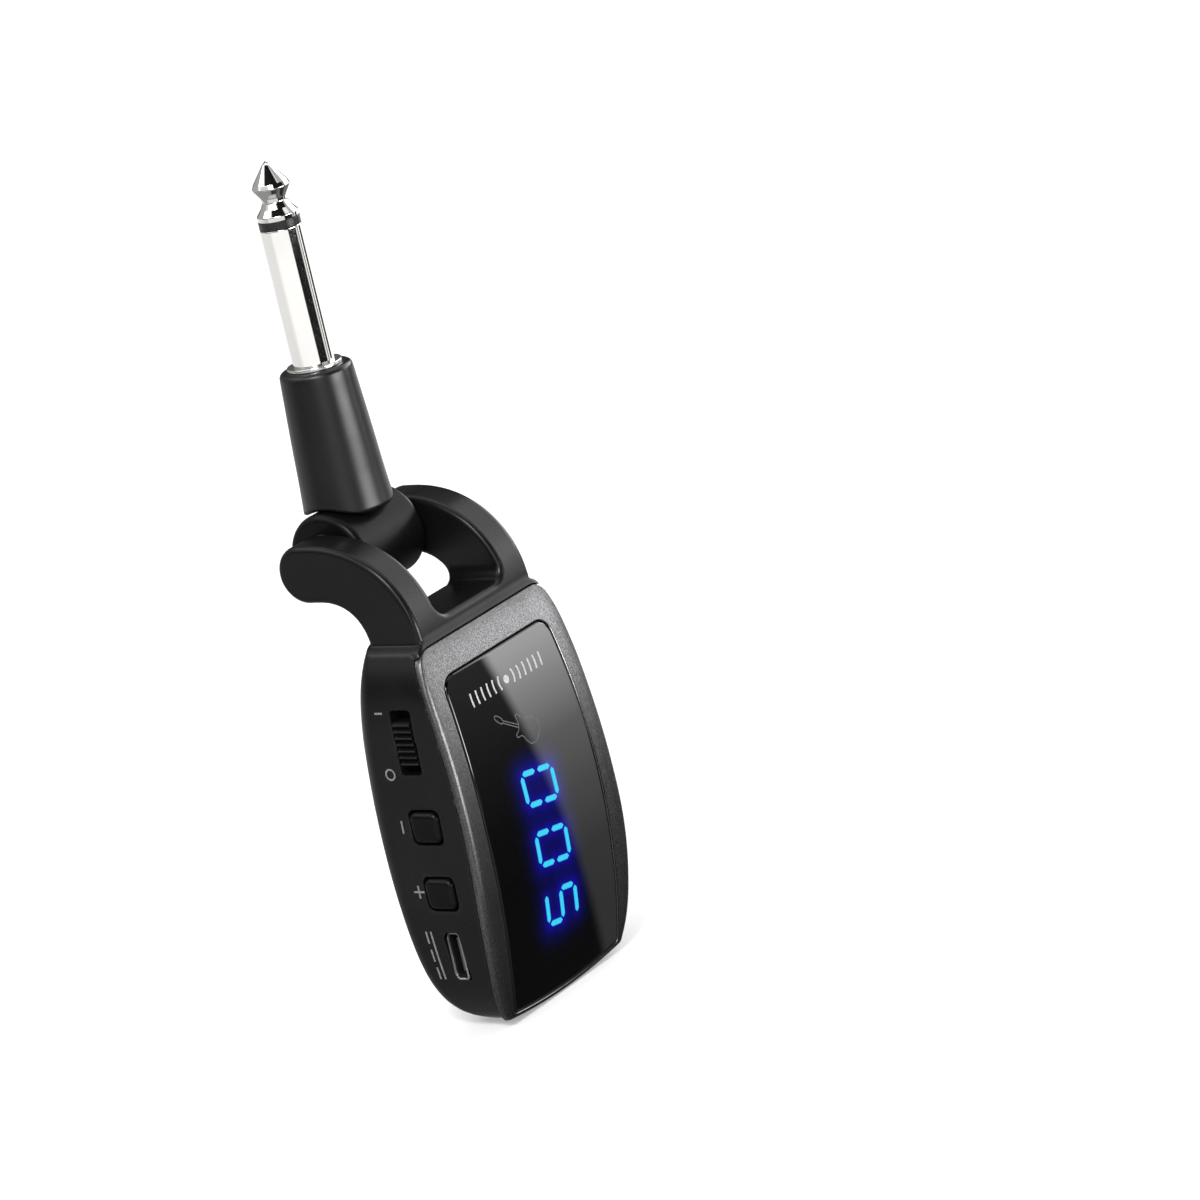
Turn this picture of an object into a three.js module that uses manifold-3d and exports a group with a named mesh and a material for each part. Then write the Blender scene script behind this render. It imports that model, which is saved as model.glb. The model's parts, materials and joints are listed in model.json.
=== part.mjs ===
// Wireless guitar transmitter: a hand-held radio pack whose folding jack plug turns in a yoke.
// Units are millimetres.  X runs along the fold axis, the display faces -Y, +Z points along the plug.
// Every piece is drawn in one "pack frame": its origin is the middle of the front top edge of the pack.
import * as THREE from 'three';
import { mergeVertices } from 'three/addons/utils/BufferGeometryUtils.js';
import Module from 'manifold-3d';

const wasm = await Module();
wasm.setup();

// ---------------------------------------------------------------- driving dimensions
// Pack body
const PACK_LENGTH = 61.5;         // front top edge down to the lowest point
const FRONT_BULGE = 4.0;          // how far the front stands forward of its end points
const BOTTOM_SAG = 1.05;          // how far the bottom edge bows down in the middle
const SAG_HALF_WIDTH = 14.5;      // half width over which the bow is measured
const RIM = 1.2;                  // housing rim left round the cover
const RIM_BOTTOM = 0.9;
const FOOT_CORNER = 1.7;          // the flanks end this far above the bottom edge
const FIT_GAP = 0.3;              // gap between fixed neighbours
const SLIP_GAP = 0.05;            // gap of a press or slip fit
// Horizontal sections of the body: depth below the top edge, half width, back face, back corner radius
const SECTIONS = [
  [0.0, 14.43, 9.6, 0.6],
  [1.6, 15.75, 10.2, 1.2],
  [5.4, 17.35, 11.6, 2.4],
  [11.0, 18.05, 13.1, 3.2],
  [19.0, 18.4, 14.0, 3.3],
  [31.0, 18.9, 14.2, 3.3],
  [42.0, 19.2, 13.5, 3.3],
  [50.0, 18.6, 12.8, 3.3],
  [55.6, 17.6, 11.6, 3.0],
  [58.6, 16.4, 10.3, 2.7],
  [60.4, 15.2, 8.0, 2.2],
  [61.5, 13.9, 4.3, 1.4],
];
const FRONT_CORNER = 0.8;
const CAVITY_WALL = 2.1;          // side and back wall thickness
const CAVITY_TOP = -3.2;
const CAVITY_FLOOR = 2.6;         // wall thickness at the bottom
const CAVITY_FRONT = 1.8;         // the cavity opens into the cover seat

// Front cover and display lens
const COVER_THICKNESS = 2.0;
const LENS_THICKNESS = 1.2;
const LENS_TOP = -6.5;
const LENS_BOTTOM_EDGE = 1.2;     // below the lens only the rim is left
const LENS_HALF_TOP = 13.6;
const LENS_HALF_MIDDLE = 14.5;
const LENS_HALF_BOTTOM = 13.8;
const LENS_CORNER = 2.7;
const DISPLAY_CENTRE_Z = -38.0;
const DISPLAY_HALF_HEIGHT = 14.8;
const DISPLAY_HALF_WIDTH = 6.2;

// Yoke and hinge
const YOKE_HALF_WIDTH = 14.43;
const YOKE_TOP = 15.05;
const KNUCKLE_RADIUS = 4.45;
const SLOT_HALF_WIDTH = 8.44;
const SLOT_FLOOR = 1.5;
const SLOT_CORNER = 2.5;
const HINGE_Y = 19.2;
const HINGE_Z = 10.6;
const BARREL_RADIUS = 7.1;
const BARREL_HALF_LENGTH = 7.83;
const PIN_RADIUS = 1.9;
const PIN_INNER_END = 3.3;
const PIN_OUTER_END = 10.6;
const WASHER_RADIUS = 4.2;

// Collar and plug
const COLLAR_TOP = 38.6;
const COLLAR_TOP_RADIUS = 5.5;
const COLLAR_MIDDLE_RADIUS = 6.2;
const COLLAR_BOTTOM_RADIUS = 6.7;
const COLLAR_FOOT = 5.6;           // above the fold axis
const NECK_TOP = 26.0;
const NECK_RADIUS = 4.6;
const CHAMBER_RADIUS = 2.45;
const PLUG_RADIUS = 3.175;        // quarter inch plug
const PLUG_LENGTH = 31.75;        // shoulder to tip
const SHANK_RADIUS = 3.6;
const ROD_RADIUS = 0.95;
const INSULATOR_RADIUS = 1.85;
const RING_BOTTOM = 60.4;
const RING_TOP = 61.6;
const ROD_FOOT = 22.9;
const ROD_TOP = 66.7;
const INSULATOR_FOOT = 24.6;
const TIP_LUG = { foot: 23.7, top: 24.1, radius: 1.8 };
const SLEEVE_LUG = { foot: 26.06, top: 26.42, radius: 3.4, tailFoot: 21.5 };
const CHAMBER_TOP = 30.0;
const CHAMBER_FOOT = -2.6;        // below the fold axis

// Electronics, measured from the board
const BOARD_FRONT = 1.3;
const BOARD_THICKNESS = 1.0;
const BOARD_BACK = BOARD_FRONT + BOARD_THICKNESS;
const BOARD_SIDE_INSET = 3.8;
const BOARD_TOP_INSET = 5.0;
const BOARD_BOTTOM_INSET = 6.4;
const CABLE_RADIUS = 0.7;
const CABLE_CLEARANCE = 0.35;
const BATTERY = { halfWidth: 12, bottom: -46, top: -13, front: 5.7, back: 10.3, edge: 0.6, corner: 1.6 };
const PAD = { halfWidth: 9, bottom: -42, top: -17, front: 5.25, back: 6.15 };
const SHIELD = { x0: -1.5, x1: 12.5, z0: -27, z1: -15, height: 2.0, skin: 0.3 };
// Parts on the back of the board: name, X range, Z range and height
const CHIPS = [
  ['radio_chip', 2.5, 8.5, -24, -18, 0.9],
  ['antenna_chip', -4.0, 4.0, -9.5, -7.5, 1.2],
  ['controller_chip', -3.5, 3.5, -38, -31, 1.1],
  ['charger_chip', -7.0, -3.0, -50, -46, 1.0],
];

// Controls in the left (-X) wall: centre height, centre depth and opening size along Y and Z
const SWITCH = { z: -14.5, y: 4.05, width: 3.8, length: 10.0 };
const MINUS = { z: -27.7, y: 3.6, width: 5.8, length: 5.5 };
const PLUS = { z: -38.1, y: 3.5, width: 5.8, length: 5.5 };
const USB = { z: -48.3, y: 3.7, width: 2.6, length: 7.7 };
const BUTTON_PROUD = 0.55;
const BUTTON_GAP = 0.3;
const BUTTON_BEVEL = 0.3;
const BUTTON_CORNER = 1.1;
const SLIDER_LENGTH = 7.1;
const SLIDER_Z = -14.75;
const RIB_COUNT = 7;
// Depths of the inner control parts behind the outer face of the left wall
const LIP_FRONT = 2.4;            // flange that keeps a button in its opening
const LIP_BACK = 3.1;
const PLATE_FRONT = 2.65;         // slider's plate
const PLATE_BACK = 3.2;
const SWITCH_FRONT = 3.6;         // slide switch body
const SWITCH_BACK = 7.3;
const STEM_END = 4.6;             // slider's stem inside the switch
const TACT_FRONT = 4.4;           // tact switch body
const TACT_BACK = 7.4;
const TACT_HEIGHT = 2.6;
const TACT_HALF_LENGTH = 2.2;
const PLUNGER_RADIUS = 0.8;
const PLUNGER_FRONT = 3.15;
const PLUNGER_BACK = 4.8;
const USB_DEPTH = 5.2;
const USB_SKIN = 0.3;

const ROUND = 48;                 // facets round a full turn

// ---------------------------------------------------------------- solids
// Closed geometry -> manifold solid
function solid(geometry) {
  const bare = geometry.clone();
  bare.deleteAttribute('normal');
  bare.deleteAttribute('uv');
  const merged = mergeVertices(bare, 1e-5);
  return new wasm.Manifold(new wasm.Mesh({
    numProp: 3,
    vertProperties: new Float32Array(merged.attributes.position.array),
    triVerts: new Uint32Array(merged.index.array),
  }));
}

// Manifold solid -> flat shaded geometry
function geometryOf(body) {
  const mesh = body.getMesh();
  const geometry = new THREE.BufferGeometry();
  geometry.setAttribute('position', new THREE.BufferAttribute(new Float32Array(mesh.vertProperties), 3));
  geometry.setIndex(new THREE.BufferAttribute(new Uint32Array(mesh.triVerts), 1));
  const flat = geometry.toNonIndexed();
  flat.computeVertexNormals();
  return flat;
}

function cut(body, ...tools) {
  return tools.reduce((rest, tool) => rest.subtract(tool), body);
}

function join(...bodies) {
  return bodies.reduce((sum, body) => sum.add(body));
}

// ---------------------------------------------------------------- primitives in the pack frame
function box(x0, x1, y0, y1, z0, z1) {
  const geometry = new THREE.BoxGeometry(x1 - x0, y1 - y0, z1 - z0);
  geometry.translate((x0 + x1) / 2, (y0 + y1) / 2, (z0 + z1) / 2);
  return solid(geometry);
}

// A turned body about a vertical axis; profile is a list of [radius, height]
function turned(profile, x, y) {
  const points = profile.map(([radius, height]) => new THREE.Vector2(radius, height));
  const geometry = new THREE.LatheGeometry(points, ROUND);
  geometry.rotateX(Math.PI / 2);
  geometry.translate(x, y, 0);
  return solid(geometry);
}

// A cylinder or tube along X between x0 and x1
function axleX(radius, bore, x0, x1, y, z, facets = ROUND) {
  const shape = new THREE.Shape();
  shape.absarc(0, 0, radius, 0, 2 * Math.PI, false);
  if (bore > 0) {
    const hole = new THREE.Path();
    hole.absarc(0, 0, bore, 0, 2 * Math.PI, true);
    shape.holes.push(hole);
  }
  const geometry = new THREE.ExtrudeGeometry(shape, {
    depth: x1 - x0, bevelEnabled: false, curveSegments: facets / 2,
  });
  geometry.rotateY(Math.PI / 2);
  geometry.translate(x0, y, z);
  return solid(geometry);
}

// A cylinder along Y between y0 and y1
function axleY(radius, y0, y1, x, z, facets = 24) {
  const geometry = new THREE.CylinderGeometry(radius, radius, y1 - y0, facets);
  geometry.translate(x, (y0 + y1) / 2, z);
  return solid(geometry);
}

// Local X, Y, Z of an extrusion laid along world axes
function laid(geometry, localX, localY, localZ) {
  geometry.applyMatrix4(new THREE.Matrix4().makeBasis(localX, localY, localZ));
  return geometry;
}

const AXIS_X = new THREE.Vector3(1, 0, 0);
const AXIS_Y = new THREE.Vector3(0, 1, 0);
const AXIS_Z = new THREE.Vector3(0, 0, 1);

// A shape drawn in Y and Z, run along X from x0 to x1
function alongX(shape, x0, x1, curveSegments = 4) {
  const geometry = new THREE.ExtrudeGeometry(shape, { depth: x1 - x0, bevelEnabled: false, curveSegments });
  laid(geometry, AXIS_Y, AXIS_Z, AXIS_X);
  geometry.translate(x0, 0, 0);
  return solid(geometry);
}

// A shape drawn in X and Z, run along Y from y0 to y1
function alongY(shape, y0, y1, curveSegments = 4) {
  const geometry = new THREE.ExtrudeGeometry(shape, { depth: y1 - y0, bevelEnabled: false, curveSegments });
  laid(geometry, AXIS_X, AXIS_Z, AXIS_Y.clone().negate());
  geometry.translate(0, y1, 0);
  return solid(geometry);
}

// A round cord along a smooth curve
function cord(points, radius) {
  const curve = new THREE.CatmullRomCurve3(points.map(([x, y, z]) => new THREE.Vector3(x, y, z)));
  const shape = new THREE.Shape();
  shape.absarc(0, 0, radius, 0, 2 * Math.PI, false);
  const geometry = new THREE.ExtrudeGeometry(shape, {
    steps: points.length * 3, extrudePath: curve, curveSegments: 5, bevelEnabled: false,
  });
  return solid(geometry);
}

function roundedRectangle(shape, x0, x1, y0, y1, radius) {
  shape.moveTo(x0 + radius, y0);
  shape.lineTo(x1 - radius, y0);
  shape.absarc(x1 - radius, y0 + radius, radius, -Math.PI / 2, 0, false);
  shape.lineTo(x1, y1 - radius);
  shape.absarc(x1 - radius, y1 - radius, radius, 0, Math.PI / 2, false);
  shape.lineTo(x0 + radius, y1);
  shape.absarc(x0 + radius, y1 - radius, radius, Math.PI / 2, Math.PI, false);
  shape.lineTo(x0, y0 + radius);
  shape.absarc(x0 + radius, y0 + radius, radius, Math.PI, 1.5 * Math.PI, false);
  return shape;
}

// ---------------------------------------------------------------- body form
const sectionDepths = SECTIONS.map((section) => section[0]);
const sectionValues = SECTIONS.flatMap((section) => section.slice(1));
const sectionCurve = new THREE.CubicInterpolant(sectionDepths, sectionValues, 3, new Float32Array(3));

function sectionAt(z) {
  const depth = THREE.MathUtils.clamp(-z, 0, PACK_LENGTH);
  const [halfWidth, back, corner] = sectionCurve.evaluate(depth);
  return { halfWidth, back, corner };
}

const FRONT_ARC_RADIUS = ((PACK_LENGTH / 2) ** 2 + FRONT_BULGE ** 2) / (2 * FRONT_BULGE);

// Depth of the bowed front face at height z
function frontAt(z) {
  const rise = z + PACK_LENGTH / 2;
  return FRONT_ARC_RADIUS - FRONT_BULGE - Math.sqrt(FRONT_ARC_RADIUS ** 2 - rise ** 2);
}

// The bottom edge lifts towards the corners
function bottomLift(x, z) {
  const ramp = THREE.MathUtils.smoothstep(-z, 0.8 * PACK_LENGTH, PACK_LENGTH);
  return BOTTOM_SAG * ramp * (x / SAG_HALF_WIDTH) ** 2;
}

function addFacePoints(ring, half, y, direction) {
  for (const share of [-0.5, 0, 0.5]) ring.push([direction * share * half, y]);
}

// One rounded rectangular section, counter-clockwise from above
function sectionRing(z, halfWidth, front, back, frontCorner, backCorner) {
  const corners = [
    [halfWidth, front, frontCorner, -Math.PI / 2, 2],
    [halfWidth, back, backCorner, 0, 5],
    [-halfWidth, back, backCorner, Math.PI / 2, 5],
    [-halfWidth, front, frontCorner, Math.PI, 2],
  ];
  const ring = [];
  for (const [x, y, radius, start, steps] of corners) {
    const centreX = x - Math.sign(x) * radius;
    const centreY = y + (y === front ? radius : -radius);
    for (let step = 0; step <= steps; step += 1) {
      const angle = start + (Math.PI / 2) * (step / steps);
      const pointX = centreX + radius * Math.cos(angle);
      const pointY = centreY + radius * Math.sin(angle);
      ring.push([pointX, pointY]);
    }
    // points across the back and the front face, so that they can bow
    if (y === back && x > 0) addFacePoints(ring, halfWidth - backCorner, back, -1);
    if (y === front && x < 0) addFacePoints(ring, halfWidth - frontCorner, front, 1);
  }
  return ring.map(([x, y]) => [x, y, z + bottomLift(x, z)]);
}

// Closed skin over rings stacked upwards
function loft(rings) {
  const count = rings[0].length;
  const positions = rings.flat(2);
  const index = [];
  for (let row = 0; row + 1 < rings.length; row += 1) {
    for (let step = 0; step < count; step += 1) {
      const a = row * count + step;
      const b = row * count + ((step + 1) % count);
      index.push(a, b, b + count, a, b + count, a + count);
    }
  }
  for (const last of [false, true]) {
    const ring = last ? rings[rings.length - 1] : rings[0];
    const offset = last ? (rings.length - 1) * count : 0;
    const hub = positions.length / 3;
    const middle = [0, 1, 2].map((axis) => ring.reduce((sum, point) => sum + point[axis], 0) / count);
    positions.push(...middle);
    for (let step = 0; step < count; step += 1) {
      const a = offset + step;
      const b = offset + ((step + 1) % count);
      index.push(...(last ? [hub, a, b] : [hub, b, a]));
    }
  }
  const geometry = new THREE.BufferGeometry();
  geometry.setAttribute('position', new THREE.Float32BufferAttribute(positions, 3));
  geometry.setIndex(index);
  return solid(geometry);
}

// Heights at which the body is sectioned: closer together where it curves quickly
function sectionHeights(top, bottom, rows) {
  const heights = [];
  for (let row = 0; row <= rows; row += 1) {
    const share = row / rows;
    const eased = 0.5 - 0.5 * Math.cos(Math.PI * share);
    heights.push(bottom + (top - bottom) * (0.25 * share + 0.75 * eased));
  }
  return heights;
}

// The body form shrunk by an inset; the front can be placed apart from the bowed face
function bodyForm(inset, top, bottom, frontInset, rows) {
  return loft(sectionHeights(top, bottom, rows).map((z) => {
    const { halfWidth, back, corner } = sectionAt(z);
    const front = frontAt(z) + frontInset;
    const rear = back - inset;
    const half = halfWidth - inset;
    const frontCorner = Math.min(FRONT_CORNER, (rear - front) / 4);
    const backCorner = Math.min(Math.max(corner - inset, 0.4), (rear - front) / 2);
    return sectionRing(z, half, front, rear, frontCorner, backCorner);
  }));
}

// Front outline of the body in X and Z, set in from its edge
function frontOutline(sideInset, topInset, bottomInset) {
  const shape = new THREE.Shape();
  const top = -topInset;
  const bottom = -(PACK_LENGTH - FOOT_CORNER - bottomInset);
  const rows = 14;
  const side = [];
  for (let row = 0; row <= rows; row += 1) {
    const z = top + (bottom - top) * (row / rows);
    side.push([sectionAt(z).halfWidth - sideInset, z]);
  }
  shape.moveTo(-side[0][0], top);
  side.forEach(([x, z]) => shape.lineTo(-x, z));
  const foot = side[rows][0] - 1.0;
  const steps = 8;
  for (let step = 0; step <= steps; step += 1) {
    const x = -foot + 2 * foot * (step / steps);
    shape.lineTo(x, -PACK_LENGTH + bottomInset + BOTTOM_SAG * (x / SAG_HALF_WIDTH) ** 2);
  }
  side.reverse().forEach(([x, z]) => shape.lineTo(x, z));
  return shape;
}

// Outline of the display lens, grown by a margin
function lensOutline(margin) {
  const shape = new THREE.Shape();
  const top = LENS_TOP + margin;
  const corner = LENS_CORNER + margin;
  const halfTop = LENS_HALF_TOP + margin;
  const halfBottom = LENS_HALF_BOTTOM + margin;
  const bow = 2 * (LENS_HALF_MIDDLE + margin) - (halfTop + halfBottom) / 2;
  const footZ = -PACK_LENGTH + LENS_BOTTOM_EDGE + BOTTOM_SAG * (halfBottom / SAG_HALF_WIDTH) ** 2 - margin;
  const middleZ = (top - corner + footZ) / 2;
  shape.moveTo(-halfTop + corner, top);
  shape.absarc(-halfTop + corner, top - corner, corner, Math.PI / 2, Math.PI, false);
  shape.quadraticCurveTo(-bow, middleZ, -halfBottom, footZ);
  shape.quadraticCurveTo(0, footZ - 2 * BOTTOM_SAG * 0.9, halfBottom, footZ);
  shape.quadraticCurveTo(bow, middleZ, halfTop, top - corner);
  shape.absarc(halfTop - corner, top - corner, corner, 0, Math.PI / 2, false);
  return shape;
}

// Slab between two copies of the bowed front, set back by the two offsets
function frontSlab(nearOffset, farOffset) {
  const shape = new THREE.Shape();
  const rows = 16;
  const over = 0.5;
  const heightAt = (row) => -PACK_LENGTH - over + (PACK_LENGTH + 2 * over) * (row / rows);
  shape.moveTo(frontAt(heightAt(0)) + nearOffset, heightAt(0));
  for (let row = 1; row <= rows; row += 1) shape.lineTo(frontAt(heightAt(row)) + nearOffset, heightAt(row));
  for (let row = rows; row >= 0; row -= 1) shape.lineTo(frontAt(heightAt(row)) + farOffset, heightAt(row));
  return alongX(shape, -25, 25);
}

const OUTER_REACH = 12;           // how far cutting tools run past the skin

// ---------------------------------------------------------------- yoke
function yokeProfile() {
  const shape = new THREE.Shape();
  shape.moveTo(0, -0.4);
  shape.lineTo(0, 0);
  shape.bezierCurveTo(0.5, 8.8, 7.5, YOKE_TOP, 17.5, YOKE_TOP);
  shape.lineTo(HINGE_Y, YOKE_TOP);
  shape.absarc(HINGE_Y, YOKE_TOP - KNUCKLE_RADIUS, KNUCKLE_RADIUS, Math.PI / 2, -Math.PI / 2, true);
  shape.lineTo(17.1, YOKE_TOP - 2 * KNUCKLE_RADIUS);
  shape.bezierCurveTo(12.1, 6.05, 9.75, 2.9, 9.65, -1.2);
  shape.lineTo(9.65, -2.2);
  shape.lineTo(1.2, -2.2);
  return shape;
}

function yokeSlot() {
  const half = SLOT_HALF_WIDTH;
  const shape = roundedRectangle(new THREE.Shape(), -half, half, SLOT_FLOOR, 30, SLOT_CORNER);
  return alongY(shape, -OUTER_REACH, 40, 5);
}

const CABLE_IN_YOKE = [
  [8.75, HINGE_Y, HINGE_Z], [10.7, HINGE_Y, HINGE_Z], [11.9, 18.0, 10.5], [12.0, 14.6, 10.0],
  [11.8, 10.4, 8.0], [11.3, 6.6, 3.2], [10.6, 4.6, -2.5], [10.0, 3.3, -7.4],
];

// ---------------------------------------------------------------- openings in the left wall
function wallOpening({ z, y, width, length }, corner) {
  const shape = roundedRectangle(
    new THREE.Shape(), y - width / 2, y + width / 2, z - length / 2, z + length / 2, corner,
  );
  return alongX(shape, -30, -12);
}

// The port outline: its back face is narrower than its front face
function portShape(shape, grow) {
  const halfLength = USB.length / 2 + grow;
  const front = USB.y - USB.width / 2 - grow;
  const back = USB.y + USB.width / 2 + grow;
  const taper = 0.9;
  shape.moveTo(front, USB.z - halfLength + 0.3);
  shape.lineTo(front + 0.3, USB.z - halfLength);
  shape.lineTo(USB.y + 0.1, USB.z - halfLength);
  shape.lineTo(back, USB.z - halfLength + taper + 0.3);
  shape.lineTo(back, USB.z + halfLength - taper - 0.3);
  shape.lineTo(USB.y + 0.1, USB.z + halfLength);
  shape.lineTo(front + 0.3, USB.z + halfLength);
  shape.lineTo(front, USB.z + halfLength - 0.3);
  return shape;
}

// ---------------------------------------------------------------- bosses and screws
const BOSSES = [
  { x: -8.2, z: -9.3 }, { x: 7.6, z: -9.4 }, { x: -10.8, z: -51.6 }, { x: 10.8, z: -51.6 },
];
const BOSS_RADIUS = 2.0;
const SCREW_RADIUS = 0.8;

// ---------------------------------------------------------------- housing parts
function makeRearHousing() {
  const body = bodyForm(0, 0, -PACK_LENGTH, 0, 30);
  const yoke = alongX(yokeProfile(), -YOKE_HALF_WIDTH, YOKE_HALF_WIDTH, 14);
  const cavity = bodyForm(CAVITY_WALL, CAVITY_TOP, CAVITY_FLOOR - PACK_LENGTH, CAVITY_FRONT, 20);
  const coverSeat = alongY(frontOutline(RIM, RIM, RIM_BOTTOM), -OUTER_REACH, 25)
    .intersect(frontSlab(-OUTER_REACH, COVER_THICKNESS + SLIP_GAP));
  const posts = BOSSES.map(({ x, z }) => {
    const backWall = sectionAt(z).back;
    return axleY(BOSS_RADIUS, BOARD_BACK + SLIP_GAP, backWall - 1, x, z);
  });
  const bores = BOSSES.map(({ x, z }) => axleY(SCREW_RADIUS + SLIP_GAP, 0, 7.2, x, z, 16));
  const shell = cut(join(body, yoke), yokeSlot(), cavity, coverSeat);
  return cut(
    join(shell, ...posts),
    ...bores,
    axleX(PIN_RADIUS + SLIP_GAP, 0, -PIN_OUTER_END - 0.3, PIN_OUTER_END + 0.3, HINGE_Y, HINGE_Z),
    cord(CABLE_IN_YOKE, CABLE_RADIUS + CABLE_CLEARANCE),
    wallOpening(SWITCH, 0.5),
    wallOpening(MINUS, 1.0),
    wallOpening(PLUS, 1.0),
    alongX(portShape(new THREE.Shape(), 0.15), -30, -12),
  );
}

function makeFrontCover() {
  const sheet = alongY(frontOutline(RIM + FIT_GAP, RIM + FIT_GAP, RIM_BOTTOM + FIT_GAP), -OUTER_REACH, 20)
    .intersect(frontSlab(0, COVER_THICKNESS));
  const lensSeat = alongY(lensOutline(0.15), -OUTER_REACH, 20)
    .intersect(frontSlab(-OUTER_REACH, LENS_THICKNESS + SLIP_GAP));
  const view = box(
    -DISPLAY_HALF_WIDTH - 0.3, DISPLAY_HALF_WIDTH + 0.3, -OUTER_REACH, 20,
    DISPLAY_CENTRE_Z - DISPLAY_HALF_HEIGHT - 0.3, DISPLAY_CENTRE_Z + DISPLAY_HALF_HEIGHT + 0.3,
  );
  return cut(sheet, lensSeat, view);
}

function makeDisplayLens() {
  return alongY(lensOutline(0), -OUTER_REACH, 20).intersect(frontSlab(0, LENS_THICKNESS));
}

function makeDisplayReflector() {
  const block = box(
    -DISPLAY_HALF_WIDTH, DISPLAY_HALF_WIDTH, -OUTER_REACH, BOARD_FRONT - SLIP_GAP,
    DISPLAY_CENTRE_Z - DISPLAY_HALF_HEIGHT, DISPLAY_CENTRE_Z + DISPLAY_HALF_HEIGHT,
  );
  return block.intersect(frontSlab(LENS_THICKNESS + 0.15, OUTER_REACH));
}

// ---------------------------------------------------------------- electronics
function makeMainBoard() {
  const outline = frontOutline(BOARD_SIDE_INSET, BOARD_TOP_INSET, BOARD_BOTTOM_INSET);
  const board = alongY(outline, BOARD_FRONT, BOARD_BACK);
  const holes = BOSSES.map(({ x, z }) => axleY(SCREW_RADIUS + 0.15, 0, 5, x, z, 16));
  return cut(board, ...holes);
}

function makeBoardScrew({ x, z }) {
  const head = axleY(1.7, BOARD_FRONT - 0.95, BOARD_FRONT - SLIP_GAP, x, z);
  const shank = axleY(SCREW_RADIUS, BOARD_FRONT - 0.1, 6.8, x, z, 16);
  const driveLong = box(x - 1.1, x + 1.1, BOARD_FRONT - 2, BOARD_FRONT - 0.55, z - 0.18, z + 0.18);
  const driveCross = box(x - 0.18, x + 0.18, BOARD_FRONT - 2, BOARD_FRONT - 0.55, z - 1.1, z + 1.1);
  return cut(join(head, shank), driveLong, driveCross);
}

function makeBattery() {
  const { halfWidth, bottom, top, front, back, edge, corner } = BATTERY;
  const outline = roundedRectangle(new THREE.Shape(), -halfWidth, halfWidth, bottom, top, corner);
  const geometry = new THREE.ExtrudeGeometry(outline, {
    depth: back - front - 2 * edge, bevelEnabled: true, bevelSize: edge, bevelThickness: edge,
    bevelSegments: 2, curveSegments: 3,
  });
  laid(geometry, AXIS_X, AXIS_Z, AXIS_Y.clone().negate());
  geometry.translate(0, back, 0);
  return solid(geometry);
}

function makeBatteryPad() {
  return box(-PAD.halfWidth, PAD.halfWidth, PAD.front, PAD.back, PAD.bottom, PAD.top);
}

function onBoardBack(x0, x1, z0, z1, height) {
  return box(x0, x1, BOARD_BACK + SLIP_GAP, BOARD_BACK + SLIP_GAP + height, z0, z1);
}

function makeRadioShield() {
  const { x0, x1, z0, z1, height, skin } = SHIELD;
  const can = onBoardBack(x0, x1, z0, z1, height);
  const inside = box(x0 + skin, x1 - skin, 0, BOARD_BACK + height - skin, z0 + skin, z1 - skin);
  return cut(can, inside);
}

// ---------------------------------------------------------------- controls
function makeSwitchBase() {
  const wall = -sectionAt(SWITCH.z).halfWidth;
  const front = wall + SWITCH_FRONT;
  const can = box(front, wall + SWITCH_BACK, BOARD_BACK + SLIP_GAP, 5.9, SWITCH.z - 4.4, SWITCH.z + 4.4);
  const trackEnd = wall + STEM_END + FIT_GAP;
  const track = box(front - 2, trackEnd, SWITCH.y - 0.9, SWITCH.y + 0.9, SWITCH.z - 2.9, SWITCH.z + 2.9);
  return cut(can, track);
}

// The slider: a ribbed cap in the slot, a cover plate behind the wall and a stem in the switch
function makeSwitchSlider() {
  const wall = -sectionAt(SWITCH.z).halfWidth;
  const top = SLIDER_Z + SLIDER_LENGTH / 2;
  const pitch = SLIDER_LENGTH / RIB_COUNT;
  const crest = wall - 0.35;
  const root = wall + 0.2;
  const shape = new THREE.Shape();
  const capEnd = wall + PLATE_FRONT + 0.05;
  shape.moveTo(capEnd, top);
  for (let rib = 0; rib < RIB_COUNT; rib += 1) {
    const start = top - rib * pitch;
    shape.lineTo(root, start - 0.02);
    shape.lineTo(crest + 0.1, start - 0.22 * pitch);
    shape.lineTo(crest, start - 0.4 * pitch);
    shape.lineTo(crest + 0.1, start - 0.58 * pitch);
    shape.lineTo(root, start - 0.8 * pitch);
  }
  shape.lineTo(root, top - SLIDER_LENGTH);
  shape.lineTo(capEnd, top - SLIDER_LENGTH);
  const half = SWITCH.width / 2 - 0.3;
  const cap = alongY(shape, SWITCH.y - half, SWITCH.y + half);
  const { y } = SWITCH;
  const plate = box(wall + PLATE_FRONT, wall + PLATE_BACK, y - 2.1, y + 2.1, SLIDER_Z - 5.2, SLIDER_Z + 5.2);
  const stem = box(wall + PLATE_BACK - 0.1, wall + STEM_END, y - 0.6, y + 0.6, SLIDER_Z - 1.3, SLIDER_Z + 1.3);
  return join(cap, plate, stem);
}

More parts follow.
